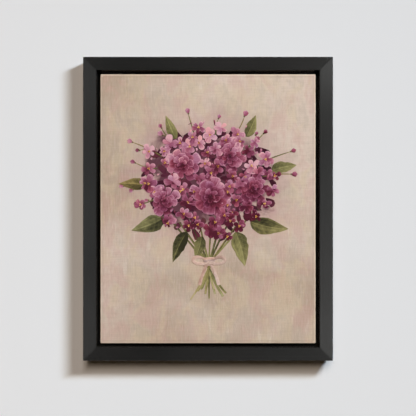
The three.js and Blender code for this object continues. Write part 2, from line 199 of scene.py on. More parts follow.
# %% Cards
CARD_COLOUR = (1, 1, 0.98)
CARDS = {  # name: (x, z from the picture's middle, width, height, radiance), at the camera's distance
    "card_right_1": (0.34, 0.300, 0.17, 0.15, 2.41),
    "card_right_2": (0.34, 0.155, 0.17, 0.11, 0.76),
    "card_right_3": (0.34, 0.030, 0.17, 0.12, 1.11),
    "card_right_4": (0.34, -0.100, 0.17, 0.12, 1.60),
    "card_right_5": (0.34, -0.260, 0.17, 0.17, 2.22),
    "card_left_1": (-0.34, 0.25, 0.18, 0.22, 0.99),
    "card_left_2": (-0.34, 0.0, 0.18, 0.22, 0.87),
    "card_left_3": (-0.34, -0.25, 0.18, 0.22, 1.17),
    "card_top_1": (-0.17, 0.38, 0.17, 0.14, 0.22),
    "card_top_2": (0.0, 0.38, 0.15, 0.14, 0.44),
    "card_top_3": (0.17, 0.38, 0.17, 0.14, 0.46),
    "card_bottom_1": (-0.17, -0.38, 0.17, 0.14, 0.17),
    "card_bottom_2": (0.0, -0.38, 0.15, 0.14, 0.48),
    "card_bottom_3": (0.17, -0.38, 0.17, 0.14, 0.60),
}
SIDE_CARDS = {  # name: (place, width, height, radiance), turned to the picture's middle
    "card_side_left": ((-1.5, -1.3, centre_z - 0.2), 1.3, 2.4, 0.30),
    "card_side_right": ((1.5, -1.3, centre_z - 0.2), 1.3, 2.4, 0.36),
    "card_over": ((0, -1.2, centre_z + 1.5), 2.2, 0.8, 0.30),
}


def card(name, place, aim, width, height, radiance):
    """A glowing card that only gloss sees. Its power is its radiance times pi times its area."""
    panel = light(
        name, "AREA", place, aim, radiance * math.pi * width * height, CARD_COLOUR,
        shape="RECTANGLE", size=width, size_y=height,
    )
    panel.visible_diffuse = panel.visible_camera = False


for name, (x, z, width, height, radiance) in CARDS.items():
    card(name, (x, front_y - distance, centre_z + z), (0, 1, 0), width, height, radiance)
for name, (place, width, height, radiance) in SIDE_CARDS.items():
    card(name, place, picture_middle - Vector(place), width, height, radiance)
print("cards", len(CARDS) + len(SIDE_CARDS))

# %% [markdown]
# The back gets two large soft lamps of its own, which reach it because the wall is only there for what is
# in front of it. The room itself gives nearly no light, but the camera sees it as an even pale grey.

# %% Back lamps and room
BACK_LAMPS = {"back_left": (1.1, 0.9, 26.0), "back_right": (-1.3, 0.1, 14.0)}  # name: (x, z, power)
BACK_LAMP_Y = 1.6
BACK_LAMP_SIZE = 1.2
ROOM_LIGHT = (0.010, 0.004, 0.0005, 1)
ROOM_SEEN = (0.72, 0.72, 0.72, 1)

for name, (x, z, power) in BACK_LAMPS.items():
    place, aim = (x, BACK_LAMP_Y, centre_z + z), (-x, -BACK_LAMP_Y, -z)
    light(name, "AREA", place, aim, power, (1, 0.98, 0.95), size=BACK_LAMP_SIZE).visible_camera = False

world = bpy.data.worlds.new("room")
bpy.context.scene.world = world
world.use_nodes = True
tree = world.node_tree
tree.nodes.clear()
room_light = tree.nodes.new("ShaderNodeBackground")
room_seen = tree.nodes.new("ShaderNodeBackground")
room_light.inputs["Color"].default_value = ROOM_LIGHT
room_seen.inputs["Color"].default_value = ROOM_SEEN
either = tree.nodes.new("ShaderNodeMixShader")
tree.links.new(tree.nodes.new("ShaderNodeLightPath").outputs["Is Camera Ray"], either.inputs["Fac"])
tree.links.new(room_light.outputs[0], either.inputs[1])
tree.links.new(room_seen.outputs[0], either.inputs[2])
tree.links.new(either.outputs[0], tree.nodes.new("ShaderNodeOutputWorld").inputs["Surface"])
bpy.context.scene.view_settings.view_transform = "Standard"

# %% [markdown]
# ## Tools for meshes
# Nearly every piece here is a surface of two parameters: a closed profile carried along a path, a profile
# turned about an axis, or a patch of paint. One function turns a grid of points into faces, with the
# texture coordinates kept for each corner, so a seam can be closed and still carry two values. A list of
# such shells becomes one object.

# %% From a grid of points to faces
def grid_shell(points, u, v, close_u=False, close_v=False, slot=0, caps=None):
    """The faces of a grid of points [i, j]. Face (i, j) joins a point to its next ones, and where a side is
    closed the last joins the first. `u` and `v` hold the texture value of each row and column, with one
    more value on a closed side. `slot` is one number or one for each column. `caps` is a slot for flat
    end faces on the first and last row."""
    rows, columns = points.shape[:2]
    i, j = np.meshgrid(np.arange(rows - (not close_u)), np.arange(columns - (not close_v)), indexing="ij")
    i, j = i.ravel(), j.ravel()
    row, next_row = i * columns, (i + 1) % rows * columns
    next_j = (j + 1) % columns
    faces = np.stack([row + j, next_row + j, next_row + next_j, row + next_j], 1)
    u, v = np.asarray(u, float), np.asarray(v, float)
    corner_u = np.stack([u[i], u[i + 1], u[i + 1], u[i]], 1)
    corner_v = np.stack([v[j], v[j], v[j + 1], v[j + 1]], 1)
    uv = np.stack([corner_u, corner_v], 2).reshape(-1, 2)
    slots = np.broadcast_to(slot, (columns,))[j]
    shell = {"points": points.reshape(-1, 3), "faces": faces.tolist(), "uv": uv, "slots": slots.tolist()}
    if caps is not None:
        ring = np.arange(columns)
        shell["faces"] += [ring.tolist(), (ring[::-1] + (rows - 1) * columns).tolist()]
        flat = np.stack([v[ring], np.zeros(columns)], 1)
        shell["uv"] = np.concatenate([uv, flat, flat])
        shell["slots"] += [caps, caps]
    return shell


# %% From shells to an object
SHELL_ARRAYS = ("points", "uv", "slots")


def build(name, shells, materials, smooth=math.radians(30), merge=0.0):
    """One object from a list of shells: their points, faces and texture values in a row. Faces that meet at
    less than the smooth angle are shaded as one, and points closer than `merge` become one."""
    mesh = bpy.data.meshes.new(name)
    points, uv, slots = (np.concatenate([shell[key] for shell in shells]) for key in SHELL_ARRAYS)
    starts = np.cumsum([0] + [len(shell["points"]) for shell in shells]).tolist()
    faces = [[start + k for k in face] for start, shell in zip(starts, shells) for face in shell["faces"]]
    mesh.from_pydata(points.tolist(), [], faces)
    mesh.uv_layers.new(name="surface").data.foreach_set("uv", uv.astype(np.float32).ravel())
    mesh.polygons.foreach_set("material_index", slots.astype(np.int32))
    for extra in shells[0].get("extra", {}):
        layer = mesh.attributes.new(extra, "FLOAT", "POINT")
        values = np.concatenate([np.broadcast_to(s["extra"][extra], len(s["points"])) for s in shells])
        layer.data.foreach_set("value", values.astype(np.float32))
    for material in materials:
        mesh.materials.append(material)
    work = bmesh.new()
    work.from_mesh(mesh)
    if merge:
        bmesh.ops.remove_doubles(work, verts=work.verts, dist=merge)
        bmesh.ops.dissolve_degenerate(work, edges=work.edges, dist=merge)
    bmesh.ops.recalc_face_normals(work, faces=work.faces)
    work.to_mesh(mesh)
    work.free()
    mesh.shade_smooth()
    mesh.set_sharp_from_angle(angle=smooth)
    piece = bpy.data.objects.new(name, mesh)
    bpy.context.scene.collection.objects.link(piece)
    return piece


# %% Places and profiles
def points_at(x, y, z):
    """One array of points from three coordinates, each a number or an array that fits the others."""
    return np.stack(np.broadcast_arrays(x, y, z), -1)


def spun(points, angle):
    """Points turned about the Y axis: x becomes x cos a + z sin a, and z becomes z cos a - x sin a."""
    x, y, z = np.moveaxis(points, -1, 0)
    c, s = math.cos(angle), math.sin(angle)
    return points_at(x * c + z * s, y, z * c - x * s)


def moved(shell, place, turn=0.0):
    """A shell that was made at the origin: moved to its place on the top side, turned to the side where it
    belongs, and lifted to the picture's middle."""
    return {**shell, "points": spun(shell["points"] + np.asarray(place), turn) + (0, 0, centre_z)}


def leaned(shell, angle):
    """A shell turned in its own place, before it is moved."""
    return {**shell, "points": spun(shell["points"], angle)}


def arc(middle, radius, start, end, steps):
    """Points on an arc of a profile: the middle plus the radius at angles from start to end, in degrees."""
    angle = np.radians(np.linspace(start, end, steps))
    return np.asarray(middle) + radius * np.stack([np.cos(angle), np.sin(angle)], 1)


def lengths(profile, closed=True):
    """The running length along a profile, with the closing stretch last when it is closed."""
    ring = np.vstack([profile, profile[:1]]) if closed else profile
    return np.concatenate([[0], np.cumsum(np.linalg.norm(np.diff(ring, axis=0), axis=1))])


def held(profile, reach=0.15 * MM, longest=0.9 * MM):
    """A closed profile with a support point close to each end of its long stretches, so that smooth shading
    stays in the rounded edges and the flat faces stay flat."""
    points = []
    for start, end in zip(profile, np.roll(profile, -1, axis=0)):
        step = np.linalg.norm(end - start)
        points.append(start)
        if step > longest:
            points += [start + (end - start) * reach / step, end - (end - start) * reach / step]
    return np.array(points)


def normals(line):
    """The unit normals of a smooth line in a plane: its direction (a, b), turned to (-b, a)."""
    ahead = np.gradient(line, axis=0)
    ahead /= np.linalg.norm(ahead, axis=1, keepdims=True)
    return np.stack([-ahead[:, 1], ahead[:, 0]], 1)


def eased(share):
    """A smooth step from 0 to 1: t^2 (3 - 2 t)."""
    return share**2 * (3 - 2 * share)


# %% Cutting and finishing a piece
def carve(piece, cutters):
    """Takes the cutters out of a piece for good and removes them."""
    for cutter in cutters:
        change = piece.modifiers.new("carve", "BOOLEAN")
        change.operation = "DIFFERENCE"
        change.solver = "EXACT"
        change.object = cutter
    bpy.context.view_layer.update()
    carved = bpy.data.meshes.new_from_object(piece.evaluated_get(bpy.context.evaluated_depsgraph_get()))
    piece.modifiers.clear()
    piece.data = carved
    for cutter in cutters:
        bpy.data.objects.remove(cutter)
    return piece


def finish_piece(piece, slot, *nodes):
    """Fixes a piece to the picture and hides the solids that it stands for."""
    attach(piece, "root")
    if nodes:
        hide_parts(*nodes)
    print(piece.name, len(piece.data.polygons), "faces")


def named(start):
    """The names of all the solids that begin with a word."""
    return sorted(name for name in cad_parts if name.startswith(start))

# %% [markdown]
# ## Tools for finishes
# A finish is a node tree that ends in one Principled shader. The helpers below add a node with its
# settings and inputs in one line, so that each finish further on reads as a recipe: a colour made from a
# few noises, then a relief made from the same noises.

# %% Finish tools
def tone(code):
    """A colour written as six hexadecimal digits, as the linear values that a shader takes."""
    share = np.array([int(code[k : k + 2], 16) for k in (0, 2, 4)]) / 255
    linear = np.where(share <= 0.04045, share / 12.92, ((share + 0.055) / 1.055) ** 2.4)
    return (*linear.tolist(), 1.0)


class Finish:
    """A material being made. `at` is where a pattern is read: object coordinates in metres, or "uv"."""

    def __init__(self, name, **constants):
        self.material = bpy.data.materials.new(name)
        self.material.use_nodes = True
        self.tree = self.material.node_tree
        self.shader = self.tree.nodes["Principled BSDF"]
        for socket, value in constants.items():
            self.shader.inputs[socket.replace("_", " ")].default_value = value
        places = self.tree.nodes.new("ShaderNodeTexCoord")
        self.places = {"object": places.outputs["Object"], "uv": places.outputs["UV"]}

    def add(self, kind, inputs=(), output=0, **settings):
        """Adds a node, sets or links its inputs, and gives back one of its outputs."""
        node = self.tree.nodes.new(kind)
        for key, value in settings.items():
            setattr(node, key, value)
        for key, value in dict(inputs).items():
            if isinstance(value, bpy.types.NodeSocket):
                self.tree.links.new(value, node.inputs[key])
            else:
                node.inputs[key].default_value = value
        return node.outputs[output]

    def place(self, at="object", stretch=(1, 1, 1), turn=(0, 0, 0), shift=(0, 0, 0)):
        """Where a pattern is read, stretched and turned by a Mapping node."""
        settings = {"Vector": self.places[at], "Scale": stretch, "Rotation": turn, "Location": shift}
        return self.add("ShaderNodeMapping", settings)

    def noise(self, scale, detail=3.0, rough=0.5, warp=0.0, **where):
        """Soft noise from 0 to 1, with about `scale` blotches a metre."""
        settings = {"Vector": self.place(**where), "Scale": scale, "Detail": detail}
        return self.add("ShaderNodeTexNoise", {**settings, "Roughness": rough, "Distortion": warp})

    def axis(self, which, **where):
        """One of the coordinates, in metres."""
        return self.add("ShaderNodeSeparateXYZ", {0: self.place(**where)}, output="XYZ".index(which))

    def maths(self, operation, *values):
        """One sum on one, two or three values."""
        return self.add("ShaderNodeMath", dict(enumerate(values)), operation=operation)

    def fit(self, value, low, high, to_low=0.0, to_high=1.0):
        """Maps low..high to to_low..to_high, eased in and out, and held at both ends."""
        inputs = {"Value": value, "From Min": low, "From Max": high, "To Min": to_low, "To Max": to_high}
        return self.add("ShaderNodeMapRange", inputs, interpolation_type="SMOOTHSTEP")

    def swayed(self, value, noise, by):
        """A value that a noise pushes up and down: value + by (noise - 1/2)."""
        return self.maths("MULTIPLY_ADD", self.maths("SUBTRACT", noise, 0.5), by, value)

    def waves(self, which, pitch):
        """Even waves from -1 to 1 along a coordinate, one for each pitch."""
        return self.maths("SINE", self.maths("MULTIPLY", self.axis(which), 2 * math.pi / pitch))

    def mix(self, share, first, second, blend="MIX"):
        """The second colour over the first, by a share from 0 to 1."""
        inputs = {0: share, 6: first, 7: second}
        return self.add("ShaderNodeMix", inputs, output=2, data_type="RGBA", blend_type=blend)

    def washed(self, colour, code, value, *fitted):
        """A colour with a thin wash of another one over it, where and as strong as the fitted value says."""
        return self.mix(self.fit(value, *fitted), colour, tone(code))

    def value_of(self, attribute):
        """A piece's own attribute, such as the lightness that each petal carries."""
        return self.add("ShaderNodeAttribute", {}, output=2, attribute_name=attribute)

    def bump(self, height, distance, strength=1.0, under=None):
        """A relief `distance` metres high, on top of another one."""
        inputs = {"Height": height, "Distance": distance, "Strength": strength}
        if under is not None:
            inputs["Normal"] = under
        return self.add("ShaderNodeBump", inputs)

    def done(self, **links):
        """Links the outputs to the shader's sockets."""
        for socket, value in links.items():
            self.tree.links.new(value, self.shader.inputs[socket.replace("_", " ")])
        return self.material


# %% [markdown]
# ## Wall and floor
# The wall is what the picture hangs on, and it takes its shadow. A lamp that stands close lights the near
# side of the wall more than the far side, so the wall's paint is evened out: its tone is divided by the
# light that arrives. K is the key's share of the light behind the picture's middle, and r is a lamp's
# distance from that middle over its distance from the point. The key doesn't fade with distance, so only
# its slant counts, and it gives K r. The window fades too, and gives (1 - K) r r r. The wall is seen from
# the front alone: from behind it lets the view and the light through, so that the back of the picture can
# be looked at too. The floor lies far below, pale and plain.

# %% Wall and floor
WALL_TONE = 0.80
WALL_HALF = 3.0
WALL_Y = MM / 2  # just behind the frame
FLOOR_Z = -1.5


def even_wall():
    """Matt pale paint, evened out against both lamps, and see-through from behind."""
    f = Finish("even_wall")
    terms = []
    for place, share, power in ((KEY_PLACE, KEY_SHARE, 1), (WINDOW_PLACE, 1 - KEY_SHARE, 3)):
        ends = {0: f.places["object"], 1: place}
        away = f.add("ShaderNodeVectorMath", ends, output=1, operation="DISTANCE")
        nearer = f.maths("DIVIDE", (Vector(place) - picture_middle).length, away)
        terms.append(f.maths("MULTIPLY", f.maths("POWER", nearer, power), share))
    paint = f.add("ShaderNodeBsdfDiffuse", {"Color": f.maths("DIVIDE", WALL_TONE, f.maths("ADD", *terms))})
    clear = f.add("ShaderNodeBsdfTransparent")
    behind = f.add("ShaderNodeNewGeometry", output=6)
    both = f.add("ShaderNodeMixShader", {0: behind, 1: paint, 2: clear})
    f.tree.links.new(both, f.tree.nodes["Material Output"].inputs["Surface"])
    return f.material


def pale_floor():
    """A pale floor that looks evenly lit wherever it is."""
    f = Finish("pale_floor", Base_Color=(0.5, 0.5, 0.5, 1), Roughness=0.9)
    f.shader.inputs["Emission Color"].default_value = (0.45, 0.45, 0.45, 1)
    f.shader.inputs["Emission Strength"].default_value = 1.0
    return f.material


def backdrop(name, corners, material, seen_by=("camera",)):
    """A flat backdrop through four corners. It throws no shadow, and only the kinds of rays that are named
    see it, so that it neither lights the picture nor shows in its gloss unless that is asked for."""
    mesh = bpy.data.meshes.new(name)
    mesh.from_pydata(corners, [], [(0, 1, 2, 3)])
    mesh.materials.append(material)
    plane = bpy.data.objects.new(name, mesh)
    bpy.context.scene.collection.objects.link(plane)
    for kind in ("camera", "diffuse", "glossy", "transmission", "shadow"):
        setattr(plane, f"visible_{kind}", kind in seen_by)


def upright(half_x, half_z, y, middle_z=0.0):
    """The corners of an upright sheet that faces the front, from its half sizes, its depth and its middle."""
    corners = ((-half_x, -half_z), (half_x, -half_z), (half_x, half_z), (-half_x, half_z))
    return [(x, y, middle_z + z) for x, z in corners]


W = WALL_HALF
floor_corners = [(-W, -W, FLOOR_Z), (W, -W, FLOOR_Z), (W, W, FLOOR_Z), (-W, W, FLOOR_Z)]
backdrop("wall", upright(W, W, WALL_Y), even_wall(), seen_by=("camera", "glossy", "transmission"))
backdrop("floor", floor_corners, pale_floor(), seen_by=("camera", "transmission"))
print("wall", 2 * W, "m wide")

# %% [markdown]
# The back is lit through the wall, so its bare wood would tint the wall behind it. A black sheet between
# the two, which only soft bounced light meets, keeps the gap as dark as it really is.

# %% Shade behind the frame
GAP_SHADE_Y = MM / 3  # between the frame's back and the wall
GAP_SHADE_INSET = 0.5 * MM

black = Finish("gap_shade", Base_Color=(0, 0, 0, 1), Roughness=1.0).material
half_x, half_z = half_width - GAP_SHADE_INSET, half_height - GAP_SHADE_INSET
backdrop("gap_shade", upright(half_x, half_z, GAP_SHADE_Y, centre_z), black, seen_by=("diffuse",))
print("gap shade", 2 * half_x, 2 * half_z)

# %% [markdown]
# ## Black lacquer and bare moulding wood
# The moulding is a pale softwood. Its front and its sides are sprayed with a satin black lacquer, thick
# enough to hide the pores but not quite the grain. The inner wall gets a greyer copy of the lacquer,
# painted light that lightens it as if more light reached into the gap. The spray also dusts the edges of
# the bare back. The grain follows each rail, so all these finishes read the texture coordinates, which
# run along the rail and across it in metres.

# %% Lacquer and bare wood
def black_lacquer(name, dark, light):
    """Near-black satin: a faint grain and orange peel as relief, and slightly uneven gloss."""
    f = Finish(name, Coat_Weight=0.0, Specular_IOR_Level=0.5)
    grain = f.noise(1, detail=4, at="uv", stretch=(14, 520, 1))
    peel = f.noise(420, detail=2)
    cloud = f.noise(16, detail=2)
    colour = f.mix(f.fit(cloud, 0.35, 0.65), dark, light)
    relief = f.bump(peel, 0.012 * MM, under=f.bump(grain, 0.03 * MM))
    gloss = f.fit(cloud, 0.3, 0.7, 0.17, 0.21)
    return f.done(Base_Color=colour, Roughness=gloss, Normal=relief)


def grained_wood(name, light, dark, knots=0.25, rings=34.0, dust=None):
    """Planed wood with its grain along u: rings bent by a slow noise, fine pores, and a little fuzz."""
    f = Finish(name, Roughness=0.62, Specular_IOR_Level=0.35)
    bend = f.noise(1, detail=2, at="uv", stretch=(9, 34, 20))
    across = f.axis("Y", at="uv")
    waves = f.maths("SINE", f.maths("MULTIPLY_ADD", across, rings * 22, f.maths("MULTIPLY", bend, rings)))
    ring = f.fit(waves, -0.2, 1.0)
    fibre = f.noise(1, detail=5, rough=0.6, at="uv", stretch=(30, 1500, 40))
    cloud = f.noise(7, detail=3)
    colour = f.mix(f.maths("MULTIPLY", ring, knots * 2), light, dark)
    colour = f.mix(f.fit(fibre, 0.45, 0.75, 0, 0.4), colour, dark)
    colour = f.washed(colour, "e6d3b0", cloud, 0.4, 0.7, 0, 0.25)
    if dust is not None:
        colour = f.mix(dust(f), colour, tone("22201e"))
    relief = f.bump(ring, 0.05 * MM, under=f.bump(fibre, 0.05 * MM, strength=0.8))
    return f.done(Base_Color=colour, Normal=relief)


BACK_MIDDLE = LEDGE_INSET / 2
DUST_EDGE = (3.2 * MM, 0.3 * MM)  # how far from the back's edges the dust starts and is full


def overspray(f):
    """Dark dust from the spray gun: thick at both edges of the back, thin towards its middle."""
    from_middle = f.maths("ABSOLUTE", f.maths("SUBTRACT", f.axis("Y", at="uv"), BACK_MIDDLE))
    ragged = f.noise(1, detail=5, rough=0.65, at="uv", stretch=(120, 400, 1))
    edge = f.swayed(from_middle, ragged, 5 * MM)
    return f.fit(edge, BACK_MIDDLE - DUST_EDGE[0], BACK_MIDDLE - DUST_EDGE[1], 0.03, 0.96)


lacquer = black_lacquer("black_lacquer", tone("191918"), tone("1d1c1b"))
# painted light: a greyer copy of the lacquer for the rails' inner walls, so the gap reads lighter
lit_inner_lacquer = black_lacquer("lit_inner_lacquer", tone("393735"), tone("403e39"))
bare_moulding = grained_wood("bare_moulding_wood", tone("d8bd90"), tone("b08a58"), rings=20, dust=overspray)
print("finishes", len(bpy.data.materials))

# %% [markdown]
# ## The four rails
# A rail is one profile carried along a line and cut off at 45 degrees at both ends. The profile is a ring
# of points (inset from the frame's outer edge, depth), and each point's line ends where it meets the mitre,
# so a point that lies further in gets a shorter line. Rounded edges catch the light, so both front edges
# are small arcs. The screw holes are taken out afterwards, from the back, with a countersunk cutter.

# %% The rail's profile
OUTER_ARRIS = 0.6 * MM
INNER_ARRIS = 0.5 * MM
BACK_ARRIS = 0.6 * MM
ON_LINE = 0.05 * MM  # points this close to a line count as on it
ledge_front_y = back_y - LEDGE_DEPTH

rail_profile = held(np.vstack([
    arc((OUTER_ARRIS, front_y + FACE_FALL + OUTER_ARRIS), OUTER_ARRIS, 180, 268, 9),
    arc((FACE_WIDTH - INNER_ARRIS, front_y + INNER_ARRIS), INNER_ARRIS, 270, 360, 7),
    [(FACE_WIDTH, ledge_front_y), (LEDGE_INSET, ledge_front_y)],
    arc((LEDGE_INSET - BACK_ARRIS, back_y - BACK_ARRIS), BACK_ARRIS, 0, 90, 4),
    arc((BACK_ARRIS, back_y - BACK_ARRIS), BACK_ARRIS, 90, 180, 4),
]))
print("profile points", len(rail_profile))


# %% Profiles carried from mitre to mitre, and turned profiles
POLE = 1e-6  # a turned profile starts this close to its axis
POLE_MERGE = 1e-5  # and then the points of such a ring become one
AROUND_SHIFT = 0.1  # metres by which the grain of a bar's other faces is read away from its back's


def mitred(profile, half_along, half_out, steps, slot=0, caps=0):
    """A profile of (inset, y) carried along x on the top side: row i of the grid is the profile at x from
    -reach to +reach, with reach = half_along - inset - half the glue line. The texture's v is the inset on
    the back, and the length round the profile elsewhere."""
    share = np.linspace(-1, 1, steps)[:, None]
    inset, y = profile[:, 0], profile[:, 1]
    reach = half_along - inset - MITRE_GAP / 2
    points = points_at(share * reach, y, half_out - inset)
    back = profile[:, 1] > profile[:, 1].max() - ON_LINE
    v = np.where(back, inset, lengths(profile)[:-1] + AROUND_SHIFT)
    u, v = share[:, 0] * half_along, np.append(v, v[0])
    return grid_shell(points, u, v, close_v=True, slot=slot, caps=caps)


def lathe(profile, sides, slot=0):
    """A profile of (radius, y), turned about the Y axis: x = r cos a, z = r sin a."""
    angle = np.linspace(0, 2 * np.pi, sides, endpoint=False)[:, None]
    radius, y = profile[:, 0], profile[:, 1]
    points = points_at(radius * np.cos(angle), y, radius * np.sin(angle))
    u, v = np.linspace(0, 10 * MM, sides + 1), lengths(profile, closed=False)
    return grid_shell(points, u, v, close_u=True, slot=slot)


# %% Rails
RAIL_STEPS = 33
FLOAT_GAP = 3.3 * MM  # between the face's inner wall and the canvas
SCREW_IN = 7 * MM  # from the canvas's edge
SCREW_INSET = FACE_WIDTH + FLOAT_GAP + SCREW_IN
SCREW_ALONG = {"top": 50 * MM, "bottom": 50 * MM, "left": 75 * MM, "right": 75 * MM}
BORE_DEPTH, BORE_RISE, BORE_SIDES = 12 * MM, 1 * MM, 32
SCREW = {"length": 18 * MM, "shank": 1.5 * MM, "head": 3.2 * MM, "rim": 0.3 * MM, "head_depth": 2.2 * MM}
HOLE_ROOM = 0.25 * MM
bore_profile = np.array([
    (POLE, -BORE_DEPTH),
    (SCREW["shank"] + HOLE_ROOM, -BORE_DEPTH),
    (SCREW["shank"] + HOLE_ROOM, -SCREW["head_depth"]),
    (SCREW["head"] + HOLE_ROOM, -SCREW["rim"]),
    (SCREW["head"] + HOLE_ROOM, BORE_RISE),
    (POLE, BORE_RISE),
])

on_back = rail_profile[:, 1] > back_y - ON_LINE
on_inside = np.abs(rail_profile[:, 0] - FACE_WIDTH) < ON_LINE
# slot 2, the inner wall, takes the lacquer's painted-light copy
slots = np.where(on_back & np.roll(on_back, -1), 1, np.where(on_inside & np.roll(on_inside, -1), 2, 0))

for side, turn in SIDES.items():
    half_along, half_out = halves(side, half_width, half_height)
    shell = moved(mitred(rail_profile, half_along, half_out, RAIL_STEPS, slots), (0, 0, 0), turn)
    rail = build(f"rail_{side}", [shell], [lacquer, bare_moulding, lit_inner_lacquer])
    cutters = []
    for end in (-1, 1):
        place = (end * SCREW_ALONG[side], back_y, half_out - SCREW_INSET)
        bore = moved(lathe(bore_profile, BORE_SIDES, slot=1), place, turn)
        cutters.append(build("bore", [bore], [lacquer, bare_moulding], merge=POLE_MERGE))
    carve(rail, cutters)
    finish_piece(rail, "frame_lacquer", f"frame_rail_{side}")

# %% [markdown]
# ## The painted cloth
# A primed cotton canvas, pulled over the stretcher and turned onto its back. It is one sheet, so it is one
# surface: rings round the picture's middle that start as the flat front, roll round the arris, run down the
# side, roll onto the back and end at the cut edge of the flap. The cloth's thickness is grown inwards from
# it. Its outside is painted or primed, and its inside is raw cotton.

# %% Painted ground
POSY = np.array((0.001, 0.026))  # the painted posy's middle, from the picture's middle
POSY_HALF = np.array((0.065, 0.053))  # its half width and half height


def painted_ground():
    """Warm putty tones, laid on with a broad soft brush: a slow drift from corner to corner, clouds of light
    and dark, patches of pink, cream and grey-green a finger wide, upright strokes, a few pale ones drawn
    across them, and the fine threads of the cloth."""
    f = Finish("painted_ground", Specular_IOR_Level=0.3)
    x, z = f.axis("X"), f.maths("SUBTRACT", f.axis("Z"), centre_z)
    drift = f.maths("MULTIPLY_ADD", x, 1.3, f.maths("MULTIPLY", z, 1.1))
    drift = f.maths("MULTIPLY_ADD", f.maths("MULTIPLY", x, z), 26, drift)
    cloud = f.noise(16, detail=3, rough=0.5, warp=0.4, stretch=(0.8, 1, 1.2))
    rosy = f.noise(46, detail=4, rough=0.6, warp=0.6, shift=(3.1, 0, 1.7), stretch=(1.2, 1, 0.8))
    cream = f.noise(50, detail=4, rough=0.6, warp=0.6, shift=(-2.3, 0, 4.4), stretch=(1.2, 1, 0.8))
    strokes = f.noise(1, detail=4, rough=0.6, warp=0.4, stretch=(620, 60, 110))
    across = f.noise(1, detail=3, rough=0.6, warp=0.3, stretch=(300, 60, 42), turn=(0, 0.75, 0))
    threads = f.noise(1, detail=3, rough=0.6, stretch=(1050, 60, 60))
    cross = f.noise(1, detail=3, rough=0.6, stretch=(60, 60, 1050))
    light = f.swayed(drift, cloud, 1.9)
    colour = f.mix(f.fit(light, -0.6, 0.6), tone("baa38f"), tone("dfccbd"))
    colour = f.washed(colour, "cda297", rosy, 0.44, 0.62, 0, 0.42)
    colour = f.washed(colour, "d8c4a3", cream, 0.46, 0.64, 0, 0.46)
    colour = f.washed(colour, "b8a896", rosy, 0.34, 0.48, 0.34, 0)
    colour = f.washed(colour, "e0d0c0", strokes, 0.50, 0.70, 0, 0.21)
    colour = f.washed(colour, "a88f7c", strokes, 0.32, 0.50, 0.17, 0)
    pale_stroke = f.maths("MULTIPLY", f.fit(across, 0.56, 0.66), f.fit(cloud, 0.50, 0.58, 0, 0.34))
    colour = f.mix(pale_stroke, colour, tone("e6d8ca"))
    colour = f.washed(colour, "dccbb8", threads, 0.42, 0.62, 0, 0.16)
    colour = f.washed(colour, "a99279", cross, 0.42, 0.62, 0, 0.12)
    return f, colour, strokes, f.maths("ADD", threads, cross)


# %% Haze round the flowers
def rosy_haze(f, colour):
    """A soft breath of pink round the flowers, where the brush has wiped their colour into the wet ground,
    and thin plum under them: each is full inside an oval and fades out over a ragged band."""
    across = f.maths("DIVIDE", f.maths("SUBTRACT", f.axis("X"), POSY[0]), POSY_HALF[0])
    up = f.maths("DIVIDE", f.maths("SUBTRACT", f.axis("Z"), centre_z + POSY[1]), POSY_HALF[1])
    squared = (f.maths("MULTIPLY", across, across), f.maths("MULTIPLY", up, up))
    away = f.maths("SQRT", f.maths("ADD", *squared))
    cloud = f.noise(30, detail=4, rough=0.6, warp=0.8)
    ragged = f.maths("MULTIPLY_ADD", cloud, 1.3, f.maths("SUBTRACT", away, 0.65))
    colour = f.washed(colour, "bd9493", ragged, 0.80, 1.45, 0.55, 0)
    return f.washed(colour, "5d3341", ragged, 0.66, 0.96, 0.96, 0)


# %% The painted front
THREAD_PITCH = (0.62 * MM, 0.66 * MM)  # across the picture and up it


def canvas_front():
    """The painted front, with a painted highlight band where the cloth turns over the edge and a thin painted
    shade line just inside it.
    """
    f, colour, strokes, threads = painted_ground()
    colour = rosy_haze(f, colour)
    along = f.axis("Y", at="uv")  # distance from the front's rim, outwards over the edge
    ragged = f.swayed(along, f.noise(160, detail=3), 1.2 * MM)
    rise, fall = f.fit(ragged, -2.2 * MM, -1.4 * MM), f.fit(ragged, -1.4 * MM, -0.6 * MM, 1, 0)
    line = f.maths("MULTIPLY", rise, fall)
    # painted shade: a thin darker line about 1.4 mm inside the front's rim
    colour = f.mix(f.maths("MULTIPLY", line, 0.26), colour, tone("a48b74"))
    # painted highlight: a pale band from 1 mm inside the rim out over the turned edge
    colour = f.washed(colour, "e9d5be", ragged, -1.0 * MM, 0.2 * MM, 0, 0.48)
    weave = f.maths("MULTIPLY", f.waves("X", THREAD_PITCH[0]), f.waves("Z", THREAD_PITCH[1]))
    relief = f.bump(weave, 0.035 * MM, under=f.bump(threads, 0.05 * MM, under=f.bump(strokes, 0.16 * MM)))
    return f.done(Base_Color=colour, Roughness=f.fit(strokes, 0.3, 0.7, 0.60, 0.72), Normal=relief)


# %% Woven cotton
def cotton(name, light, dark, pitch, depth):
    """Plain-woven cotton: warp and weft as two sine waves, each thread a little lighter or darker, and
    painted shade in the hollows between the threads.
    """
    f = Finish(name, Roughness=0.86, Specular_IOR_Level=0.2)
    weave = f.maths("MULTIPLY", f.waves("X", pitch), f.waves("Z", pitch))
    slub_x = f.noise(1, detail=2, stretch=(1600, 40, 22))
    slub_z = f.noise(1, detail=2, stretch=(22, 40, 1600))
    slub = f.maths("MULTIPLY", f.maths("ADD", slub_x, slub_z), 0.5)
    colour = f.mix(f.fit(slub, 0.40, 0.60), light, dark)
    # painted shade: darker where the weave's relief is low
    colour = f.mix(f.fit(weave, -1, 0.1, 0.35, 0), colour, dark)
    colour = f.mix(f.fit(f.noise(14, detail=4), 0.45, 0.75, 0, 0.3), colour, dark)
    relief = f.bump(weave, depth, under=f.bump(slub, depth))
    return f.done(Base_Color=colour, Normal=relief)


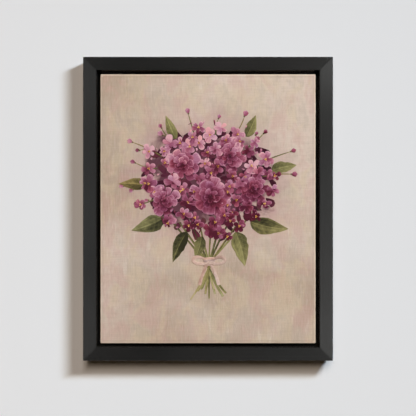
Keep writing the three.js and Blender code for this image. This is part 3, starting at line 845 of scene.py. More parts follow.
front_paint = canvas_front()
primed_cotton = cotton("primed_cotton", tone("e4dfd3"), tone("cfc8b8"), THREAD_PITCH[1], 0.06 * MM)
raw_cotton = cotton("raw_cotton", tone("d6c8ab"), tone("b7a583"), THREAD_PITCH[1], 0.10 * MM)
print("finishes", len(bpy.data.materials))

# %% One ring of the canvas
FRONT_STEPS = (96, 120)  # cells of the flat front
CORNER_STEPS = 8
FRONT_TURN_STEPS, SIDE_STEPS, BACK_TURN_STEPS, FLAP_STEPS = 6, 7, 5, 13
BACK_TURN = 1.2 * MM
FLAP_SINK = 0.12 * MM  # how far the flap leans onto the bars towards its cut edge
EDGE_WANDER = 0.5 * MM
FLAP_LIFT = 0.10 * MM


def ring_of(half_x, half_z, radius, y):
    """A rectangle with rounded corners, anticlockwise from its lower left corner. Each side has as many
    points as the front's grid, and each corner has an arc of its own, which is a point at radius 0."""
    parts = []
    for k, (sx, sz) in enumerate([(1, -1), (1, 1), (-1, 1), (-1, -1)]):
        steps = FRONT_STEPS[0] if k % 2 == 0 else FRONT_STEPS[1]
        share = np.linspace(-1, 1, steps + 1)[:-1] if k < 2 else np.linspace(1, -1, steps + 1)[:-1]
        flat_x, flat_z = half_x - radius, half_z - radius
        if k % 2 == 0:
            line = np.stack([share * flat_x, np.full(steps, sz * half_z)], 1)
        else:
            line = np.stack([np.full(steps, sx * half_x), share * flat_z], 1)
        start = -90 + 90 * k
        parts += [line, arc((sx * flat_x, sz * flat_z), radius, start, start + 90, CORNER_STEPS + 1)[:-1]]
    flat = np.vstack(parts)
    return points_at(flat[:, 0], y, flat[:, 1] + centre_z)


def flap_wave(points, share):
    """A ring of the flap, drawn in or out by wander = W sin(61 x + 1.3) cos(47 z - 0.4) times the share, so
    that the cut edge isn't straight, and lifted a little between the staples. The share is 0 at the fold and
    1 at the cut edge."""
    x, z = points[:, 0], points[:, 2] - centre_z
    wander = EDGE_WANDER * np.sin(x * 61 + 1.3) * np.cos(z * 47 - 0.4) * share
    shrink = 1 - wander / canvas_half[0]
    lift = FLAP_LIFT * share * np.sin(x * 140 + z * 170)
    return points_at(x * shrink, points[:, 1] + lift, z * shrink + centre_z)


# %% The canvas as rings
half_x, half_z = canvas_half
rings, v = [], []
for angle in np.radians(np.linspace(0, 90, FRONT_TURN_STEPS + 1)):
    inset = CLOTH_TURN * (1 - math.sin(angle))
    y = cloth_front_y + CLOTH_TURN * (1 - math.cos(angle))
    rings.append(ring_of(half_x - inset, half_z - inset, CLOTH_TURN - inset, y))
    v.append(CLOTH_TURN * angle)
for y in np.linspace(cloth_front_y + CLOTH_TURN, cloth_back_y - BACK_TURN, SIDE_STEPS + 1)[1:]:
    rings.append(ring_of(half_x, half_z, CLOTH_TURN, y))
    v.append(CLOTH_TURN * math.pi / 2 + y - cloth_front_y - CLOTH_TURN)
for angle in np.radians(np.linspace(0, 90, BACK_TURN_STEPS + 1)[1:]):
    inset = BACK_TURN * (1 - math.cos(angle))
    y = cloth_back_y - BACK_TURN + BACK_TURN * math.sin(angle)
    rings.append(ring_of(half_x - inset, half_z - inset, max(CLOTH_TURN - inset, 0), y))
    v.append(v[-1] + BACK_TURN * math.radians(90 / BACK_TURN_STEPS))
first_flap = len(rings)
for inset in np.linspace(BACK_TURN, FLAP_WIDTH, FLAP_STEPS + 1)[1:]:
    share = (inset - BACK_TURN) / (FLAP_WIDTH - BACK_TURN)
    y = cloth_back_y - FLAP_SINK * share
    ring = ring_of(half_x - inset, half_z - inset, max(CLOTH_TURN - inset, 0), y)
    rings.append(flap_wave(ring, share))
    v.append(v[-1] + (FLAP_WIDTH - BACK_TURN) / FLAP_STEPS)
rings = np.array(rings)
print("rings", rings.shape)

# %% The cloth as one surface
PAINTED, PRIMED = 0, 1  # slots, with the raw inner sides two further on
RIM_MERGE = 2e-6  # joins the flat front with the first ring
share_x, share_z = (np.linspace(-1, 1, steps + 1) for steps in FRONT_STEPS)
flat_x, flat_z = half_x - CLOTH_TURN, half_z - CLOTH_TURN
grid_x, grid_z = np.meshgrid(share_x * flat_x, share_z * flat_z, indexing="ij")
flat_front = points_at(grid_x, cloth_front_y, grid_z + centre_z)
front_shell = grid_shell(flat_front, share_x * 0, share_z * 0)
edge_x, edge_z = np.abs(grid_x) - half_x + CLOTH_TURN, np.abs(grid_z) - half_z + CLOTH_TURN
from_rim = np.maximum(edge_x, edge_z).ravel()  # minus the distance to the nearest edge of the flat front
front_v = from_rim[np.ravel(front_shell["faces"])]
front_shell["uv"] = np.stack([np.zeros_like(front_v), front_v], 1)
wrap_shell = grid_shell(rings.transpose(1, 0, 2), lengths(rings[0][:, [0, 2]]), v, close_u=True)
painted_rows = np.arange(len(rings) - 1) < first_flap - 2
wrap_shell["slots"] = np.tile(np.where(painted_rows, PAINTED, PRIMED), rings.shape[1]).tolist()
cloth = build("canvas_cloth", [front_shell, wrap_shell],
              [front_paint, primed_cotton, raw_cotton, raw_cotton], smooth=math.radians(60), merge=RIM_MERGE)
thickness = cloth.modifiers.new("thickness", "SOLIDIFY")
thickness.thickness = CLOTH
thickness.offset = -1.0
thickness.material_offset = 2
thickness.material_offset_rim = 1
finish_piece(cloth, "painted_canvas", "canvas")

# %% [markdown]
# At a corner there is more cloth than the back needs, so it is tucked under one of the two flaps. What
# shows is a soft rolled fold along the corner's diagonal and a low step where the tucked triangle ends,
# which is wider the further it lies from the corner. Each fold is a closed patch on the flap: its section
# is a half round, a flat top and a slope. It starts just inside the ledge, which hides the rest.

# %% Corner folds
FOLD_FROM = LEDGE_INSET - (half_width - half_x) + 0.6 * MM
FOLD_TO = FLAP_WIDTH - 0.2 * MM
FOLD_ROWS = 11
FOLD_HEIGHT = 0.95 * MM
FOLD_SPREAD = 0.5  # the tuck's width, as a share of the distance from the cloth's edge
FOLD_SHARES = np.array([0.12, 0.35, 0.5, 0.58, 0.66, 0.74, 0.82, 0.90, 1.0])  # across the tuck


def corner_fold(sx, sz, phase):
    """Rows run along the diagonal, where both insets are equal. Across it the section starts with a half
    circle of radius H / 2, stays at H for half the tuck's width, and falls to the flap as a smooth step."""
    inset = np.linspace(FOLD_FROM, FOLD_TO, FOLD_ROWS)[:, None]
    height = FOLD_HEIGHT * (1 + 0.12 * np.sin(inset / MM * 0.7 + phase))
    turn = np.radians(np.linspace(270, 90, 7))
    fall = np.clip((FOLD_SHARES - 0.5) / 0.5, 0, 1)
    beyond = height / 2 + FOLD_SHARES * (FOLD_SPREAD * inset - height / 2)
    across = np.hstack([height / 2 * (1 + np.cos(turn)), beyond])
    rise = np.hstack([height / 2 * (1 + np.sin(turn)), height * (1 - eased(fall))])
    wander = 0.25 * MM * np.sin(inset / MM * 0.45 + 2 * phase)
    x, z = sx * (half_x - inset - across - wander), sz * (half_z - inset) + centre_z
    points = points_at(x, cloth_back_y - FLAP_SINK + rise, z)
    return grid_shell(points, inset[:, 0], np.linspace(0, 30 * MM, points.shape[1] + 1), close_v=True, caps=1)


folds = [corner_fold(sx, sz, 1.1 * sx + 0.6 * sz) for sx in (-1, 1) for sz in (-1, 1)]
flap_folds = build("flap_folds", folds, [primed_cotton, raw_cotton], smooth=math.radians(50))
finish_piece(flap_folds, "painted_canvas")

# %% [markdown]
# ## The stretcher
# Four pine bars keep the cloth tight. They touch it only with a narrow bead along their outer edge and fall
# away behind it, so that the bar's inner edge doesn't print through the paint. They are the same kind of
# piece as the rails, a profile carried from mitre to mitre, so the same function makes them. Each end has a
# slot in its inner face for a corner key, in a layer of its own.

# %% The bar's profile
BAR_EDGE = CLOTH_TURN - BAR_INSET
BAR_BEAD = 4 * MM
BAR_FALL = 3 * MM
BAR_EASE = 0.7 * MM  # the rounding of the bars' inner edges
BAR_STEPS = 25
bar_back_y = cloth_back_y - CLOTH - TOUCH
bar_front_y = bar_back_y - BAR_DEPTH
bar_inner = BAR_INSET + BAR_WIDTH

bar_profile = held(np.vstack([
    arc((BAR_INSET + BAR_EDGE, bar_front_y + BAR_EDGE), BAR_EDGE, 180, 270, 5),
    [(BAR_INSET + BAR_BEAD, bar_front_y), (BAR_INSET + BAR_BEAD + 2 * MM, bar_front_y + BAR_FALL / 2)],
    arc((bar_inner - BAR_EASE, bar_front_y + BAR_FALL + BAR_EASE), BAR_EASE, 270, 360, 4),
    arc((bar_inner - BAR_EASE, bar_back_y - BAR_EASE), BAR_EASE, 0, 90, 4),
    arc((BAR_INSET + BAR_EDGE, bar_back_y - BAR_EDGE), BAR_EDGE, 90, 180, 5),
]))
print("profile points", len(bar_profile))

# %% Stretcher bars
WEDGE = {"inside": 9 * MM, "beyond": 15 * MM, "thick_end": 9 * MM, "tip": 4 * MM, "thick": 3 * MM}
WEDGE_LAYERS = {"upright": 11.6 * MM, "level": 6 * MM}  # how far in front of the bar's back each kind lies
SLOT_ROOM = 0.3 * MM
SLOT_MOUTH = 1.5 * MM
SLOT_OVER = 1 * MM  # how far the cutter stands out at both ends

pine = grained_wood("planed_pine", tone("dcc093"), tone("b98f5b"), knots=0.30, rings=26)
pine_end = grained_wood("sawn_pine", tone("cfae7d"), tone("a67c4b"), knots=0.4, rings=90)


def block(low, high, slot=0):
    """A box between two corners, as a shell."""
    corners = np.array([[(x, y, z) for x, z in ((0, 0), (1, 0), (1, 1), (0, 1))] for y in (0, 1)], float)
    points = np.asarray(low) + corners * (np.asarray(high) - np.asarray(low))
    return grid_shell(points, [0, 0.01], np.linspace(0, 0.04, 5), close_v=True, slot=slot, caps=slot)


for side, turn in SIDES.items():
    half_along, half_out = halves(side, *canvas_half)
    inner_along, inner_out = half_along - bar_inner, half_out - bar_inner
    shell = moved(mitred(bar_profile, half_along, half_out, BAR_STEPS), (0, 0, 0), turn)
    bar = build(f"bar_{side}", [shell], [pine, pine_end])
    middle = bar_back_y - WEDGE_LAYERS["upright" if side in LEVEL else "level"]
    reach = WEDGE["thick"] / 2 + SLOT_ROOM
    z_low, z_high = inner_out - SLOT_OVER, inner_out + WEDGE["beyond"] + SLOT_OVER
    cutters = []
    for end in (-1, 1):
        x_low, x_high = sorted((end * (inner_along - WEDGE["thick_end"]), end * (inner_along + SLOT_MOUTH)))
        slot_block = block((x_low, middle - reach, z_low), (x_high, middle + reach, z_high), 1)
        cutters.append(build("key_slot", [moved(slot_block, (0, 0, 0), turn)], [pine, pine_end]))
    carve(bar, cutters)
    finish_piece(bar, "pine", f"stretcher_bar_{side}")

# %% [markdown]
# ## Corner keys
# Two small beech wedges in each corner. Tapped in, they push the bars apart and tighten the cloth. One side
# of a wedge is straight and lies on a bar's inner face, and the other one tapers. Each is a ring of four
# corners, slightly rounded, extruded through its thickness.

# %% Rounded slabs
def rounded_outline(corners, radius, steps=3):
    """A polygon with an arc in place of each corner: the quadratic curve through the points `radius` before
    and after it, p(t) = (1-t)^2 a + 2 t (1-t) corner + t^2 b."""
    corners = np.asarray(corners, float)
    t = np.linspace(0, 1, steps + 1)[:, None]
    parts = []
    for before, here, after in zip(np.roll(corners, 1, axis=0), corners, np.roll(corners, -1, axis=0)):
        a = here + (before - here) * radius / np.linalg.norm(before - here)
        b = here + (after - here) * radius / np.linalg.norm(after - here)
        parts.append((1 - t) ** 2 * a + 2 * t * (1 - t) * here + t**2 * b)
    return np.vstack(parts)


def slab(outline, y_low, y_high, edge, slot=0):
    """An outline of (x, z), extruded from y_low to y_high, its rims eased by `edge`: four rings, of which
    the outer two are drawn towards the outline's middle. The grain follows the longer way."""
    middle = outline.mean(axis=0)
    reach = np.linalg.norm(outline - middle, axis=1, keepdims=True)
    eased_in = middle + (outline - middle) * (1 - edge / reach)
    rings = [(eased_in, y_low), (outline, y_low + edge), (outline, y_high - edge), (eased_in, y_high)]
    points = np.array([points_at(ring[:, 0], y, ring[:, 1]) for ring, y in rings])
    shell = grid_shell(points, [0, 1, 2, 3], np.zeros(len(outline) + 1), close_v=True, slot=slot, caps=slot)
    flat = points.reshape(-1, 3)
    order = np.concatenate([np.asarray(face) for face in shell["faces"]])
    along, cross = flat[:, 0], flat[:, 2]
    if np.ptp(cross) > np.ptp(along):
        along, cross = cross, along
    shell["uv"] = np.stack([along[order], cross[order]], 1)
    return shell


# %% Keys
WEDGE_CORNER = 0.5 * MM
WEDGE_ARRIS = 0.25 * MM
beech = grained_wood("beech", tone("c79a68"), tone("a2734a"), knots=0.15, rings=60)
inner_x, inner_z = (half - bar_inner - TOUCH for half in canvas_half)


def wedge(straight, along):
    """A key's corners as (across, along): the straight side lies on the bar, the thick end is inside."""
    near, far = along - WEDGE["inside"], along + WEDGE["beyond"]
    thin, thick = straight - WEDGE["tip"], straight - WEDGE["thick_end"]
    return [(straight, near), (straight, far), (thin, far), (thick, near)]


outlines = {
    "upright": np.array(wedge(inner_x, inner_z)),
    "level": np.array(wedge(inner_z, inner_x))[:, ::-1],
}
keys = []
for corner in CORNERS:
    for kind, outline in outlines.items():
        middle, half = bar_back_y - WEDGE_LAYERS[kind], WEDGE["thick"] / 2
        shape = rounded_outline(outline * corner, WEDGE_CORNER)
        keys.append(moved(slab(shape, middle - half, middle + half, WEDGE_ARRIS), (0, 0, 0)))
finish_piece(build("corner_keys", keys, [beech]), "beech", *named("key_"))

# %% [markdown]
# ## Steel fastenings
# Zinc-plated steel is bright but not a mirror: rolled and tumbled, with a soft cloudy bloom and a few dull
# spots. Screws and nails are turned profiles, a staple is a flat wire carried along a bent line, and a
# V-nail is a thin bent strip driven flush into each mitre.

# %% Zinc-plated steel
def zinc_steel():
    """Plated steel: cloudy bright grey, brushed a little along one way, with dull freckles."""
    f = Finish("zinc_steel", Metallic=1.0)
    cloud = f.noise(240, detail=4)
    brushed = f.noise(1, detail=3, stretch=(260, 2600, 2600))
    freckle = f.fit(f.noise(1500, detail=2), 0.62, 0.72)
    colour = f.mix(f.fit(cloud, 0.35, 0.65), tone("b9bbbc"), tone("9b9d9d"))
    colour = f.mix(f.maths("MULTIPLY", freckle, 0.5), colour, tone("6f6c66"))
    gloss = f.maths("ADD", f.fit(cloud, 0.35, 0.65, 0.27, 0.40), f.maths("MULTIPLY", freckle, 0.25))
    return f.done(Base_Color=colour, Roughness=gloss, Normal=f.bump(brushed, 0.02 * MM))


zinc = zinc_steel()

# %% Screws that hold the canvas in the frame
SCREW_SIDES = 28
SCREW_TIP = 4 * MM  # the length of the tapered tip
SCREW_POINT = (0.8 * MM, 3 * MM)  # how thick it still is, as a radius, and how far down the tip
CROSS = {"half": 1.85 * MM, "deep": 1.1 * MM, "half_wide": 0.42 * MM, "over": 1 * MM}

taper_y = SCREW_TIP - SCREW["length"]
screw_profile = np.vstack([
    [(POLE, -SCREW["length"]), (SCREW_POINT[0], taper_y - SCREW_POINT[1]), (SCREW["shank"], taper_y)],
    [(SCREW["shank"], -SCREW["head_depth"])],
    arc((SCREW["head"] - SCREW["rim"], -SCREW["rim"]), SCREW["rim"], -30, 90, 5),
    [(1.2 * MM, 0.0), (POLE, 0.0)],
])
long, wide, low, high = CROSS["half"], CROSS["half_wide"], -CROSS["deep"], CROSS["over"]
cross = [block((-x, low, -z), (x, high, z)) for x, z in ((long, wide), (wide, long))]


def reused(piece):
    """A finished mesh as a shell again, so that it can be set in many places."""
    mesh = piece.data
    points = np.empty(3 * len(mesh.vertices))
    mesh.vertices.foreach_get("co", points)
    faces = [list(face.vertices) for face in mesh.polygons]
    shell = {"points": points.reshape(-1, 3), "faces": faces, "slots": [0] * len(faces)}
    shell["uv"] = np.zeros((sum(map(len, faces)), 2))
    bpy.data.objects.remove(piece)
    return shell


plain_screw = build("screw", [lathe(screw_profile, SCREW_SIDES)], [zinc], merge=POLE_MERGE)
screw = reused(carve(plain_screw, [build("cross", [bar], [zinc]) for bar in cross]))
screws = []
for k, (side, turn) in enumerate(SIDES.items()):
    half_out = halves(side, half_width, half_height)[1]
    for end in (-1, 1):
        spin = math.radians(37 * k + 61 * end)  # no two screws stop at the same angle
        place = (end * SCREW_ALONG[side], back_y, half_out - SCREW_INSET)
        screws.append(moved(leaned(screw, spin), place, turn))
finish_piece(build("frame_screws", screws, [zinc]), "zinc_steel", *named("frame_screw"))

# %% Staples
STAPLE = {"crown": 10 * MM, "wire": 0.6 * MM, "width": 1.2 * MM, "bend": 0.9 * MM, "leg": 6 * MM}
STAPLE_INSET = 20 * MM
STAPLE_LEANS = (4, -6, 2, -3, 5)  # degrees
STAPLES_ALONG = {"level": (-66, -22, 22, 66), "upright": (-88, -44, 0, 44, 88)}  # mm from the middle
staple_y = cloth_back_y + TOUCH


def staple_shell():
    """A flat wire carried along leg, bend, crown, bend, leg. The section is a rounded strip, `width` wide in
    z and `wire` thick, turned with the line: point = line + normal * n + z * w."""
    reach, bend = STAPLE["crown"] / 2 - STAPLE["wire"] / 2, STAPLE["bend"]
    quarter = np.radians(np.linspace(0, 90, 6))[:, None]
    left_x = -reach + bend - bend * np.cos(quarter)
    left_y = STAPLE["wire"] / 2 - bend + bend * np.sin(quarter)
    left = np.hstack([left_x, left_y])
    right = left[::-1] * (-1, 1)
    line = np.vstack([[(-reach, -STAPLE["leg"])], left, right, [(reach, -STAPLE["leg"])]])
    angle = np.radians(np.arange(0, 360, 36) + 18)
    n = STAPLE["wire"] / 2 * np.sign(np.sin(angle)) * np.abs(np.sin(angle)) ** 0.5
    w = STAPLE["width"] / 2 * np.sign(np.cos(angle)) * np.abs(np.cos(angle)) ** 0.5
    points = np.zeros((len(line), len(angle), 3))
    points[..., :2] = line[:, None] + normals(line)[:, None] * n[:, None]
    points[..., 2] = w
    v = np.linspace(0, 3 * MM, len(angle) + 1)
    return grid_shell(points, lengths(line, closed=False), v, close_v=True, caps=0)


staple, staples = staple_shell(), []
for side, turn in SIDES.items():
    half_out = halves(side, *canvas_half)[1]
    for along, lean in zip(STAPLES_ALONG["level" if side in LEVEL else "upright"], STAPLE_LEANS):
        place = (along * MM, staple_y, half_out - STAPLE_INSET)
        staples.append(moved(leaned(staple, math.radians(lean)), place, turn))
finish_piece(build("staples", staples, [zinc]), "zinc_steel", *named("staple_"))

# %% V-nails
V_NAIL = {"leg": 5 * MM, "thick": 0.5 * MM, "depth": 7 * MM, "proud": 0.06 * MM}
V_NAIL_INSETS = (7 * MM, 19 * MM)
half, leg = V_NAIL["thick"] / 2, V_NAIL["leg"]
vee = np.array([(half, half), (-leg, half), (-leg, -half), (-half, -half), (-half, -leg), (half, -leg)])
ends = (-V_NAIL["depth"], V_NAIL["proud"])
vee_rings = np.array([points_at(vee[:, 0], y, vee[:, 1]) for y in ends])
v_nail = grid_shell(vee_rings, [0, 1], np.zeros(len(vee) + 1), close_v=True, caps=0)
v_nails = []
for (sx, sz), turn in zip(CORNERS, SIDES.values()):
    for inset in V_NAIL_INSETS:
        place = (sx * (half_width - inset), back_y, sz * (half_height - inset))
        v_nails.append(moved(leaned(v_nail, turn), place))
finish_piece(build("v_nails", v_nails, [zinc]), "zinc_steel", *named("v_nail"))

# %% [markdown]
# ## Sawtooth hanger
# A strip of sheet steel with a row of teeth in its lower edge. Its two tabs lie on the wood and its middle
# is raised, so that a nail's head fits behind it. It is one surface z(x): for each x, the strip runs from
# the toothed edge to the straight one, and the depth follows a smooth step between tab and middle.

# %% Hanger
HANGER = {"half": 24 * MM, "bend": 16.4 * MM, "raised": 12.6 * MM, "top": 9.4 * MM}
HANGER_THICK, HANGER_LIFT = 0.8 * MM, 1.6 * MM
TOOTH_PITCH, TOOTH_DEEP, TEETH = 2.6 * MM, 1.6 * MM, 4
TAB_CORNER = 2.2 * MM
STRIP_EDGE = 0.12 * MM  # how far the strip's edges are rounded

tooth_x = np.arange(-2 * TEETH - 1, 2 * TEETH + 2) * TOOTH_PITCH / 2
bend_x = np.linspace(HANGER["raised"], HANGER["bend"], 9)
tab_x = HANGER["half"] - TAB_CORNER * (1 - np.sin(np.radians(np.linspace(0, 90, 7))))
right_x = np.concatenate([bend_x, [18 * MM, 20 * MM], tab_x])
strip_x = np.unique(np.concatenate([-right_x, tooth_x, right_x]).round(8))
off_tooth = np.abs(strip_x - np.round(strip_x / TOOTH_PITCH) * TOOTH_PITCH)
toothed = np.abs(strip_x) <= (TEETH + 0.5) * TOOTH_PITCH + 1e-9
z_low = np.where(toothed, -TOOTH_DEEP * off_tooth / (TOOTH_PITCH / 2), -TOOTH_DEEP)
into_corner = np.clip(np.abs(strip_x) - (HANGER["half"] - TAB_CORNER), 0, TAB_CORNER)
rounding = TAB_CORNER - np.sqrt(TAB_CORNER**2 - into_corner**2)
z_low, z_high = z_low + rounding, HANGER["top"] - rounding
step = np.clip((HANGER["bend"] - np.abs(strip_x)) / (HANGER["bend"] - HANGER["raised"]), 0, 1)
lift = HANGER_LIFT * eased(step)[:, None]

across_share = np.array([0, 0, 0.25, 0.5, 0.75, 1, 1])
edge_in = STRIP_EDGE * np.array([1, 0, 0, 0, 0, 0, 1])  # pulls each face's first and last row in from the rim
edge_up = STRIP_EDGE * np.array([1, 2.5, 0, 0, 0, -2.5, -1])
z_rows = z_low[:, None] + (z_high - z_low)[:, None] * across_share + edge_up
y_wood = back_y + TOUCH + lift + edge_in
y_out = back_y + TOUCH + HANGER_THICK + lift - edge_in
outer, inner = (points_at(strip_x[:, None], y, z_rows) for y in (y_out, y_wood))
strip = np.concatenate([outer, inner[:, ::-1]], axis=1)
round_v = np.linspace(0, 24 * MM, strip.shape[1] + 1)
hanger = grid_shell(strip, strip_x - strip_x[0], round_v, close_v=True, caps=0)
finish_piece(build("hanger", [hanger], [zinc]), "zinc_steel", "sawtooth_hanger")

# %% The hanger's nails
NAIL = {"length": 10 * MM, "point": 1.2 * MM, "shank": 0.7 * MM, "head": 1.7 * MM, "rim": 0.35 * MM}
NAIL_SIDES = 20
HANGER_HOLE = (20 * MM, 4.7 * MM)
nail_top = back_y + TOUCH + HANGER_THICK + TOUCH
nail_profile = np.vstack([
    [(POLE, -NAIL["length"]), (NAIL["shank"], NAIL["point"] - NAIL["length"])],
    [(NAIL["shank"], 0), (NAIL["head"], 0)],
    arc((NAIL["head"] - NAIL["rim"], NAIL["rim"]), NAIL["rim"], 0, 70, 4),
    [(0.9 * MM, 0.69 * MM), (POLE, 0.7 * MM)],
])
nail = lathe(nail_profile, NAIL_SIDES)
nails = [moved(nail, (end * HANGER_HOLE[0], nail_top, HANGER_HOLE[1] - centre_z)) for end in (-1, 1)]
finish_piece(build("hanger_nails", nails, [zinc], merge=POLE_MERGE), "zinc_steel", *named("hanger_nail"))

# %% [markdown]
# ## Wall bumpers
# Two soft pads on the bottom rail keep the frame off the wall. Each is a low dome with a rolled rim, turned
# about its axis, in dull dark rubber with a fine moulded grain.

# %% Bumpers
def dull_rubber():
    """Matt dark rubber, dusty, with a fine grain."""
    f = Finish("bumper_rubber", Roughness=0.82, Specular_IOR_Level=0.35)
    dust = f.noise(700, detail=4)
    colour = f.mix(f.fit(dust, 0.45, 0.75), tone("343332"), tone("4d4a46"))
    return f.done(Base_Color=colour, Normal=f.bump(f.noise(4200, detail=2), 0.03 * MM))


BUMPER = {"radius": 5 * MM, "thick": 2.8 * MM, "foot_rim": 0.4 * MM, "rim": 1.5 * MM}
BUMPER_SIDES = 40
BUMPER_FROM_SIDE, BUMPER_FROM_EDGE = 30 * MM, 14 * MM
bumper_profile = np.vstack([
    [(POLE, TOUCH), (4.6 * MM, TOUCH)],
    arc((BUMPER["radius"] - BUMPER["foot_rim"], 0.6 * MM), BUMPER["foot_rim"], -60, 0, 4),
    arc((BUMPER["radius"] - BUMPER["rim"], BUMPER["thick"] - BUMPER["rim"]), BUMPER["rim"], 5, 90, 9),
    [(2.2 * MM, 2.78 * MM), (1.3 * MM, 2.62 * MM), (POLE, 2.56 * MM)],
])
bumper, bumper_z = lathe(bumper_profile, BUMPER_SIDES), BUMPER_FROM_EDGE - half_height
bumpers = [moved(bumper, (end * (half_width - BUMPER_FROM_SIDE), back_y, bumper_z)) for end in (-1, 1)]
bumpers = build("wall_bumpers", bumpers, [dull_rubber()], merge=POLE_MERGE)
finish_piece(bumpers, "bumper_rubber", *named("wall_bumper"))

# %% [markdown]
# ## The painted flowers
# What is painted on the cloth is a plain posy: ruffled roses, small five-petalled blossoms, sprays of buds
# and a few leaves in plum, dusty rose and olive, tied low and held upright in the picture's middle. Oil
# paint stands up from the cloth where the brush has left it, so each petal is a dab of its own: a thin
# closed patch, at most two millimetres high, narrow at its foot, broad near its tip, and lying over the
# dabs before it. A hand isn't even, so every dab's edge wanders a little.

# %% One dab of paint
rng = np.random.default_rng(41)
GOLDEN_TURN = math.radians(137.508)
ACROSS = np.array([-1, -0.55, 0, 0.55, 1, 0.5, -0.5])  # five points over the top and two underneath
ON_TOP = np.array([1, 1, 1, 1, 1, 0, 0], bool)
PAINT_ROOT = 0.1 * MM  # how deep a dab's underside lies in the cloth


def petal_width(v):
    """Narrow at the foot and round at the tip: v^0.55 * sqrt(1 - v^4)."""
    return v**0.55 * np.sqrt(np.clip(1 - v**4, 0, 1))


def leaf_width(v):
    """Rounded at the foot and pointed at the tip: sin(pi v^0.72)^0.85, drawn out at the end."""
    return np.sin(np.pi * v**0.72) ** 0.85 * (1 - 0.25 * v**3)


def paint_shell(flat, rise, v, **own):
    """A patch from its points (x, z) on the picture and their height over the cloth, with u across from -1
    to 1 and v along from 0 to 1, and the values that the patch carries for its paint."""
    depth = cloth_front_y + PAINT_ROOT - rise * ON_TOP
    points = points_at(flat[..., 0], depth, flat[..., 1] + centre_z)
    shell = grid_shell(points, v, np.append(ACROSS, ACROSS[0]), close_v=True, caps=0)
    shell["uv"] = shell["uv"][:, ::-1].copy()
    shell["extra"] = {"shade": 0.5, "warm": rng.normal(0, 0.4), "rim": 0.3, **own}
    return shell


# %% A dab and a stroke
def dab(place, angle, length, width, layer, height, shade, rows=8, bend=0.0, notch=0.0, cup=0.5,
        outline=petal_width, wobble=0.09, rim=0.3):
    """A patch of paint with its foot at `place`, pointing along `angle` in the plane of the picture. With u
    across and v along: along = length (v - notch v^6 (1 - |u|)^2), across = width u w(v) + bend v^2, and
    height = layer + height (1 - u^2 / 2) (1 - cup + cup v). Its underside lies in the cloth."""
    v = (1 - np.cos(np.pi * np.linspace(0, 1, rows))) / 2
    uneven = 1 + wobble * rng.normal(0, 1, (rows, 2))  # each side of the edge wanders in its own way
    v, u = np.meshgrid(v, ACROSS, indexing="ij")
    along = length * (v - notch * v**6 * (1 - np.abs(u)) ** 2)
    across = width * u * outline(v) * np.where(u < 0, uneven[:, :1], uneven[:, 1:]) + bend * v**2
    rise = layer + height * (1 - u**2 / 2) * (1 - cup + cup * v)
    c, s = math.cos(angle), math.sin(angle)
    flat = np.stack([place[0] + along * c - across * s, place[1] + along * s + across * c], -1)
    return paint_shell(flat, rise, v[:, 0], shade=shade, rim=rim)


def stroke(points, widths, layer, height, shade, rows=14, ends=0.5):
    """A long brush stroke along a smooth line through a few points (a Bezier curve): the same patch as a
    dab, but u lies across the curve's normal."""
    t = np.linspace(0, 1, rows)[:, None]
    points = np.asarray(points, float)
    degree = len(points) - 1
    weights = [math.comb(degree, j) * (1 - t) ** (degree - j) * t**j for j in range(degree + 1)]
    line = sum(weight * point for weight, point in zip(weights, points))
    half = np.interp(t[:, 0], np.linspace(0, 1, len(widths)), widths) * (1 + 0.06 * rng.normal(0, 1, rows))
    half[[0, -1]] *= ends
    flat = line[:, None] + normals(line)[:, None] * (half[:, None] * ACROSS)[..., None]
    return paint_shell(flat, layer + height * (1 - ACROSS**2 / 2), t[:, 0], shade=shade)


def lightness(x, z):
    """How light a flower is painted at a place: the light comes from above, a little from the left."""
    return 0.36 + 4.8 * (z - 0.022) - 2.2 * x


def beside(x, z, angle, reach):
    """The place that lies `reach` away from another one, at an angle."""
    return (x + reach * math.cos(angle), z + reach * math.sin(angle))


# %% Where the flowers stand
ROSES = [  # (x, z, radius) in metres, from the picture's middle
    (-0.024, 0.042, 0.0190), (0.021, 0.050, 0.0170), (0.003, 0.012, 0.0205), (0.043, 0.019, 0.0165),
    (-0.041, 0.008, 0.0155),
]
TIE = (0.001, -0.050)


def scattered(count, jitter, start):
    """Places spread evenly over the posy's oval on a sunflower's spiral, and then shaken."""
    k = np.arange(count)
    share, turn = np.sqrt((k + 0.5) / count), k * GOLDEN_TURN + start
    x = POSY[0] + POSY_HALF[0] * share * np.cos(turn) + rng.normal(0, jitter, count)
    z = POSY[1] + POSY_HALF[1] * share * np.sin(turn) + rng.normal(0, jitter, count)
    return np.stack([x, z], 1)


def far_from_roses(places, least):
    """The places that lie at least so many radii from every rose's heart."""
    gaps = [np.hypot(places[:, 0] - x, places[:, 1] - z) / radius for x, z, radius in ROSES]
    return places[np.min(gaps, axis=0) > least]


places = far_from_roses(scattered(86, 2.6 * MM, 0.6), 0.78)
places = places[rng.permutation(len(places))]
print("small blossoms", len(places))

# %% Dark under-painting between the flowers
under = []
for x, z in scattered(120, 3 * MM, 2.0) * 0.93 + (0, 1 * MM):
    angle, length = rng.uniform(0, 2 * math.pi), rng.uniform(8, 15) * MM
    width, shade = rng.uniform(3.0, 5.0) * MM, rng.uniform(0, 0.5)
    foot = beside(x, z, angle, -length / 2)
    under.append(dab(foot, angle, length, width, 0.12 * MM, 0.12 * MM, shade, rows=6, wobble=0.18))
print("under-painting", len(under))

# %% Roses
ROSE_PETALS = 26
LIT_WAY = 0.4  # added to a petal's angle: those that point up and a little left are lit most

